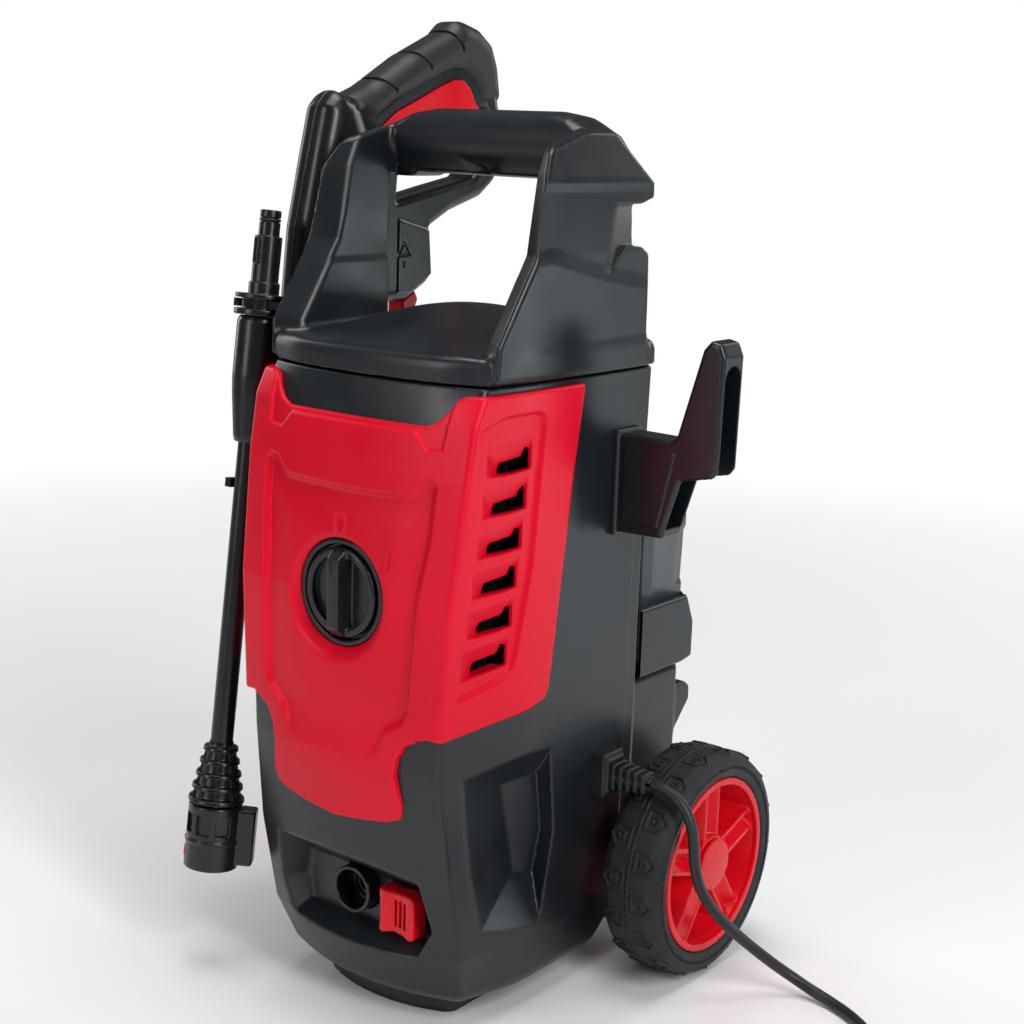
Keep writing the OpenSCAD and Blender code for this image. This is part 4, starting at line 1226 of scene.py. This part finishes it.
GUN_X = -100
GUN_HALF = 13
GUN = Outline([
    (-52, 366), (-47, 410), (-38, 448), (-31, 476), (-25, 482), (-13, 480), (4, 479),
    (36, 497), (72, 511), (94, 515), (105, 509), (113, 501), (120, 476), (119, 440),
    (116, 434), (103, 425), (75, 417), (56, 408), (59, 380), (54, 375), (36, 366),
], 5)
GUN_HOLE = Outline([
    (24, 424), (60, 431), (93, 437), (104, 446), (108, 464), (101, 478), (62, 462), (26, 446),
], 3)
GUN_COLUMN = Outline([
    (-52, 360), (-47, 410), (-38, 448), (-31, 476), (-22, 485), (-10, 480), (0, 460), (-6, 420),
    (-14, 380), (-20, 360),
], 3)
GUN_HOUSING = Outline([(24, 371.5), (24, 414), (52, 407), (54.5, 381), (37, 371.5)], 1)
GUN_PAD = Outline([
    (-14, 470), (4, 466.5), (22, 477.5), (40, 484.5), (57, 491.5), (71, 496.5), (80, 496.5),
    (88, 491.5), (95, 481.5), (104, 479), (120, 482), (116, 503), (110, 516), (98, 524),
    (84, 527.4), (77, 526.8), (69, 520), (36, 506), (3, 488), (-13, 482),
], 3)
GUN_INLAY = Outline([
    (4, 463), (22, 474.5), (40, 481.5), (57, 488.5), (71, 493.5), (79, 493.5), (86, 489),
    (92, 479), (97, 476), (62, 460.5), (30, 447.5), (12, 453),
], 2)
TRIGGER_ROOM = Outline([
    (11, 447), (14, 470), (58, 485), (101, 494), (104, 477), (90, 455), (50, 442), (18, 434),
], 1)
TRIGGER = Outline([
    (17, 452), (27, 459), (60, 470), (92, 480), (95, 475), (86, 465), (56, 451), (30, 440), (22, 443),
], 1.5)
TRIGGER_PIVOT = (22, 456)
LOCK = (4, 428)
ARROW = Outline([(29, 402), (35.5, 392.5), (22.5, 391.5)], 0)


def gun_shell(x, y, z):
    """The gun's two shells as one solid, before they are split."""
    u = x - GUN_X
    side = np.abs(u)
    body = joined(
        only(GUN(y, z), side - 11.6, 8),
        (only(GUN_COLUMN(y, z), side - GUN_HALF, 12), 3),
        (only(GUN_HOUSING(y, z), side - 12.4, 1.4), 1),
    )
    stem = only(np.abs(y - 29) - 1.1, np.abs(z - 387.7) - 1.8)
    arrow = np.minimum(np.abs(ARROW(y, z) + 0.9) - 0.7, stem)
    lean = math.radians(11.2)
    bore = np.hypot(u, (y + 40) * math.cos(lean) - (z - 366) * math.sin(lean)) - 10
    return cut(
        body,
        (GUN_HOLE(y, z), 4),
        (only(GUN_INLAY(y, z) - 0.2, 10.9 - side, 0.2), 0.4),
        (only(TRIGGER_ROOM(y, z), side - 7.2), 0),
        (about(TRIGGER_PIVOT, y, z) - 3.2, 0),
        (about(LOCK, y, z) - 4.2, 0.4),
        (only(arrow, 11.7 - side), 0.2),
        (np.maximum(bore, z - 425), 0),
        (np.maximum(np.hypot(u, z - 482) - 8.5, 112 - y), 0.8),
    )


def gun_left(x, y, z):
    return only(gun_shell(x, y, z), x - GUN_X + 0.12, 0.7)


def gun_right(x, y, z):
    return only(gun_shell(x, y, z), GUN_X + 0.12 - x, 0.7)


def grip_pad(x, y, z):
    side = np.abs(x - GUN_X)
    body = only(GUN_PAD(y, z), side - GUN_HALF - 1, 11)
    for y0, z0, y1, z1 in ((8, 494, 20, 484.8), (37, 512, 49.3, 498.7), (68, 524, 78, 510.1)):
        long = math.hypot(y1 - y0, z1 - z0)
        ey, ez = (y1 - y0) / long, (z1 - z0) / long
        across = (y - y0) * ez - (z - z0) * ey
        along = (y - y1) * ey + (z - z1) * ez
        line = only(np.abs(across) - 1.1, along, 0.8)
        body = less(body, np.maximum(line, -body - 1.4), 0.4)
    return body


def gun_inlay(x, y, z):
    side = np.abs(x - GUN_X)
    return only(GUN_INLAY(y, z) + 0.1, np.abs(side - 11.8) - 1.2, 0.5)


def gun_trigger(x, y, z):
    side = np.abs(x - GUN_X)
    body = only(TRIGGER(y, z), side - 6.5, 2.6)
    return np.minimum(body, only(about(TRIGGER_PIVOT, y, z) - 3, side - 12, 0.4))


def trigger_lock(x, y, z):
    return rod(y - LOCK[0], z - LOCK[1], x - GUN_X, 4, -15.5, 15.5, 1.2)


RELEASE_TAB = Outline([(36, 365.7), (47, 371.2), (50, 366), (46, 358), (36, 357)], 0.5)


def lance_release(x, y, z):
    return only(RELEASE_TAB(y, z), np.abs(x - GUN_X) - 6, 1.4)


moulding("gun_left_half", "gun_shell_left", gun_left, (-116, -56, 362), (-98, 130, 520), 0.9,
         SATIN_BLACK, body="gun")
moulding("gun_right_half", "gun_shell_right", gun_right, (-102, -56, 362), (-84, 130, 520), 0.8,
         SATIN_BLACK, body="gun")
moulding("gun_grip", "gun_grip_pad", grip_pad, (-117, -18, 460), (-83, 126, 532), 0.8, GRIP_BLACK,
         body="gun")
moulding("gun_panels", "gun_inlays", gun_inlay, (-115, 0, 442), (-85, 100, 498), 0.8, GLOSS_RED, body="gun")
moulding("gun_lever", "gun_trigger", gun_trigger, (-114, 12, 434), (-86, 98, 484), 0.8, SATIN_BLACK,
         body="trigger", slot="dark_plastic")
moulding("gun_lock_pin", "gun_trigger_lock", trigger_lock, (-118, -2, 422), (-82, 10, 434), 0.6,
         GLOSS_RED, body="trigger_lock")
moulding("gun_lance_tab", "gun_lance_release", lance_release, (-108, 33, 354), (-92, 53, 374), 0.6,
         GLOSS_RED, body="gun")


# ---- CAD nodes that keep their shape ----

KEPT = {
    "axle": STEEL, "axle_clips": STEEL, "casing_screws": STEEL, "inlet_filter": STEEL,
    "pump_head": ALUMINIUM, "pump_body": ALUMINIUM, "pistons": STEEL, "swash_plate": STEEL,
    "motor_can": ALUMINIUM, "motor_stator": COPPER, "motor_rotor": STEEL,
    "motor_bearings": STEEL, "cord_plug": CORD_RUBBER, "lance_seal": SEAL_RUBBER,
}


def dress_kept_nodes():
    """Gives each CAD node its material, which is satin black plastic unless it is named above."""
    for name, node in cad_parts.items():
        node.data.materials.clear()
        node.data.materials.append(KEPT.get(name, SATIN_BLACK))


dress_kept_nodes()


# ---- Floor and light ----


def blend_shaders(tree, share, first, second, output):
    """Sends a mix of two shaders to the output node, share of it being the second."""
    mix = tree.nodes.new("ShaderNodeMixShader")
    for source, socket in zip((share, first.outputs[0], second.outputs[0]), mix.inputs):
        tree.links.new(source, socket)
    tree.links.new(mix.outputs["Shader"], tree.nodes[output].inputs["Surface"])


def add_stage():
    """A pale floor that fades into the white background away from the machine."""
    reach = 30.0
    floor = bpy.data.meshes.new("floor")
    corners = [(-reach, -reach, 0), (reach, -reach, 0), (reach, reach, 0), (-reach, reach, 0)]
    floor.from_pydata(corners, [], [(0, 1, 2, 3)])
    piece = add_object("floor", floor)
    material, tree, shader, place = new_material("pale_floor")
    set_values(shader, base_color=(0.90, 0.90, 0.91, 1), roughness=0.75)
    away = tree.nodes.new("ShaderNodeVectorMath")
    away.operation = "LENGTH"
    tree.links.new(place, away.inputs[0])
    seen = tree.nodes.new("ShaderNodeLightPath").outputs["Is Camera Ray"]
    share = tree.nodes.new("ShaderNodeMath")
    share.operation = "MULTIPLY"
    tree.links.new(remap(tree, away.outputs["Value"], 0, 1, 0.45, 1.5), share.inputs[0])
    tree.links.new(seen, share.inputs[1])
    glow = tree.nodes.new("ShaderNodeEmission")
    set_values(glow, color=(1, 1, 1, 1))
    blend_shaders(tree, share.outputs["Value"], shader, glow, "Material Output")
    floor.materials.append(material)


MIDDLE = Vector((0, 0, 0.25))


def add_softbox(name, place, size, power, shade=(1, 1, 1)):
    """A rectangular light in metres and watts, aimed at the machine's middle."""
    light = bpy.data.lights.new(name, "AREA")
    light.shape = "RECTANGLE"
    light.size, light.size_y = size
    light.energy = power
    light.color = shade
    lamp = add_object(name, light)
    lamp.location = place
    lamp.rotation_euler = (MIDDLE - Vector(place)).to_track_quat("-Z", "Y").to_euler()


def add_light():
    """A white background for the camera, a dim one for the reflections, and softboxes."""
    world = bpy.data.worlds.new("studio")
    bpy.context.scene.world = world
    world.use_nodes = True
    tree = world.node_tree
    dim = tree.nodes["Background"]
    set_values(dim, color=(0.93, 0.96, 1.0, 1), strength=0.12)
    white = tree.nodes.new("ShaderNodeBackground")
    set_values(white, color=(1, 1, 1, 1))
    seen = tree.nodes.new("ShaderNodeLightPath").outputs["Is Camera Ray"]
    blend_shaders(tree, seen, dim, white, "World Output")
    add_softbox("key", (1.5, -0.5, 1.1), (0.4, 1.3), 20)
    add_softbox("front", (-0.5, -1.7, 0.9), (0.5, 1.2), 8)
    add_softbox("top", (0.0, 0.0, 1.9), (1.1, 0.8), 17)
    add_softbox("left", (-1.6, 0.0, 0.8), (0.3, 1.3), 6)
    add_softbox("rim", (0.3, 1.6, 0.9), (0.4, 1.2), 6)
    add_softbox("low", (1.3, 1.15, 0.2), (0.35, 0.3), 2.6, (0.85, 1, 1))
    bpy.context.scene.view_settings.view_transform = "Standard"


add_stage()
add_light()
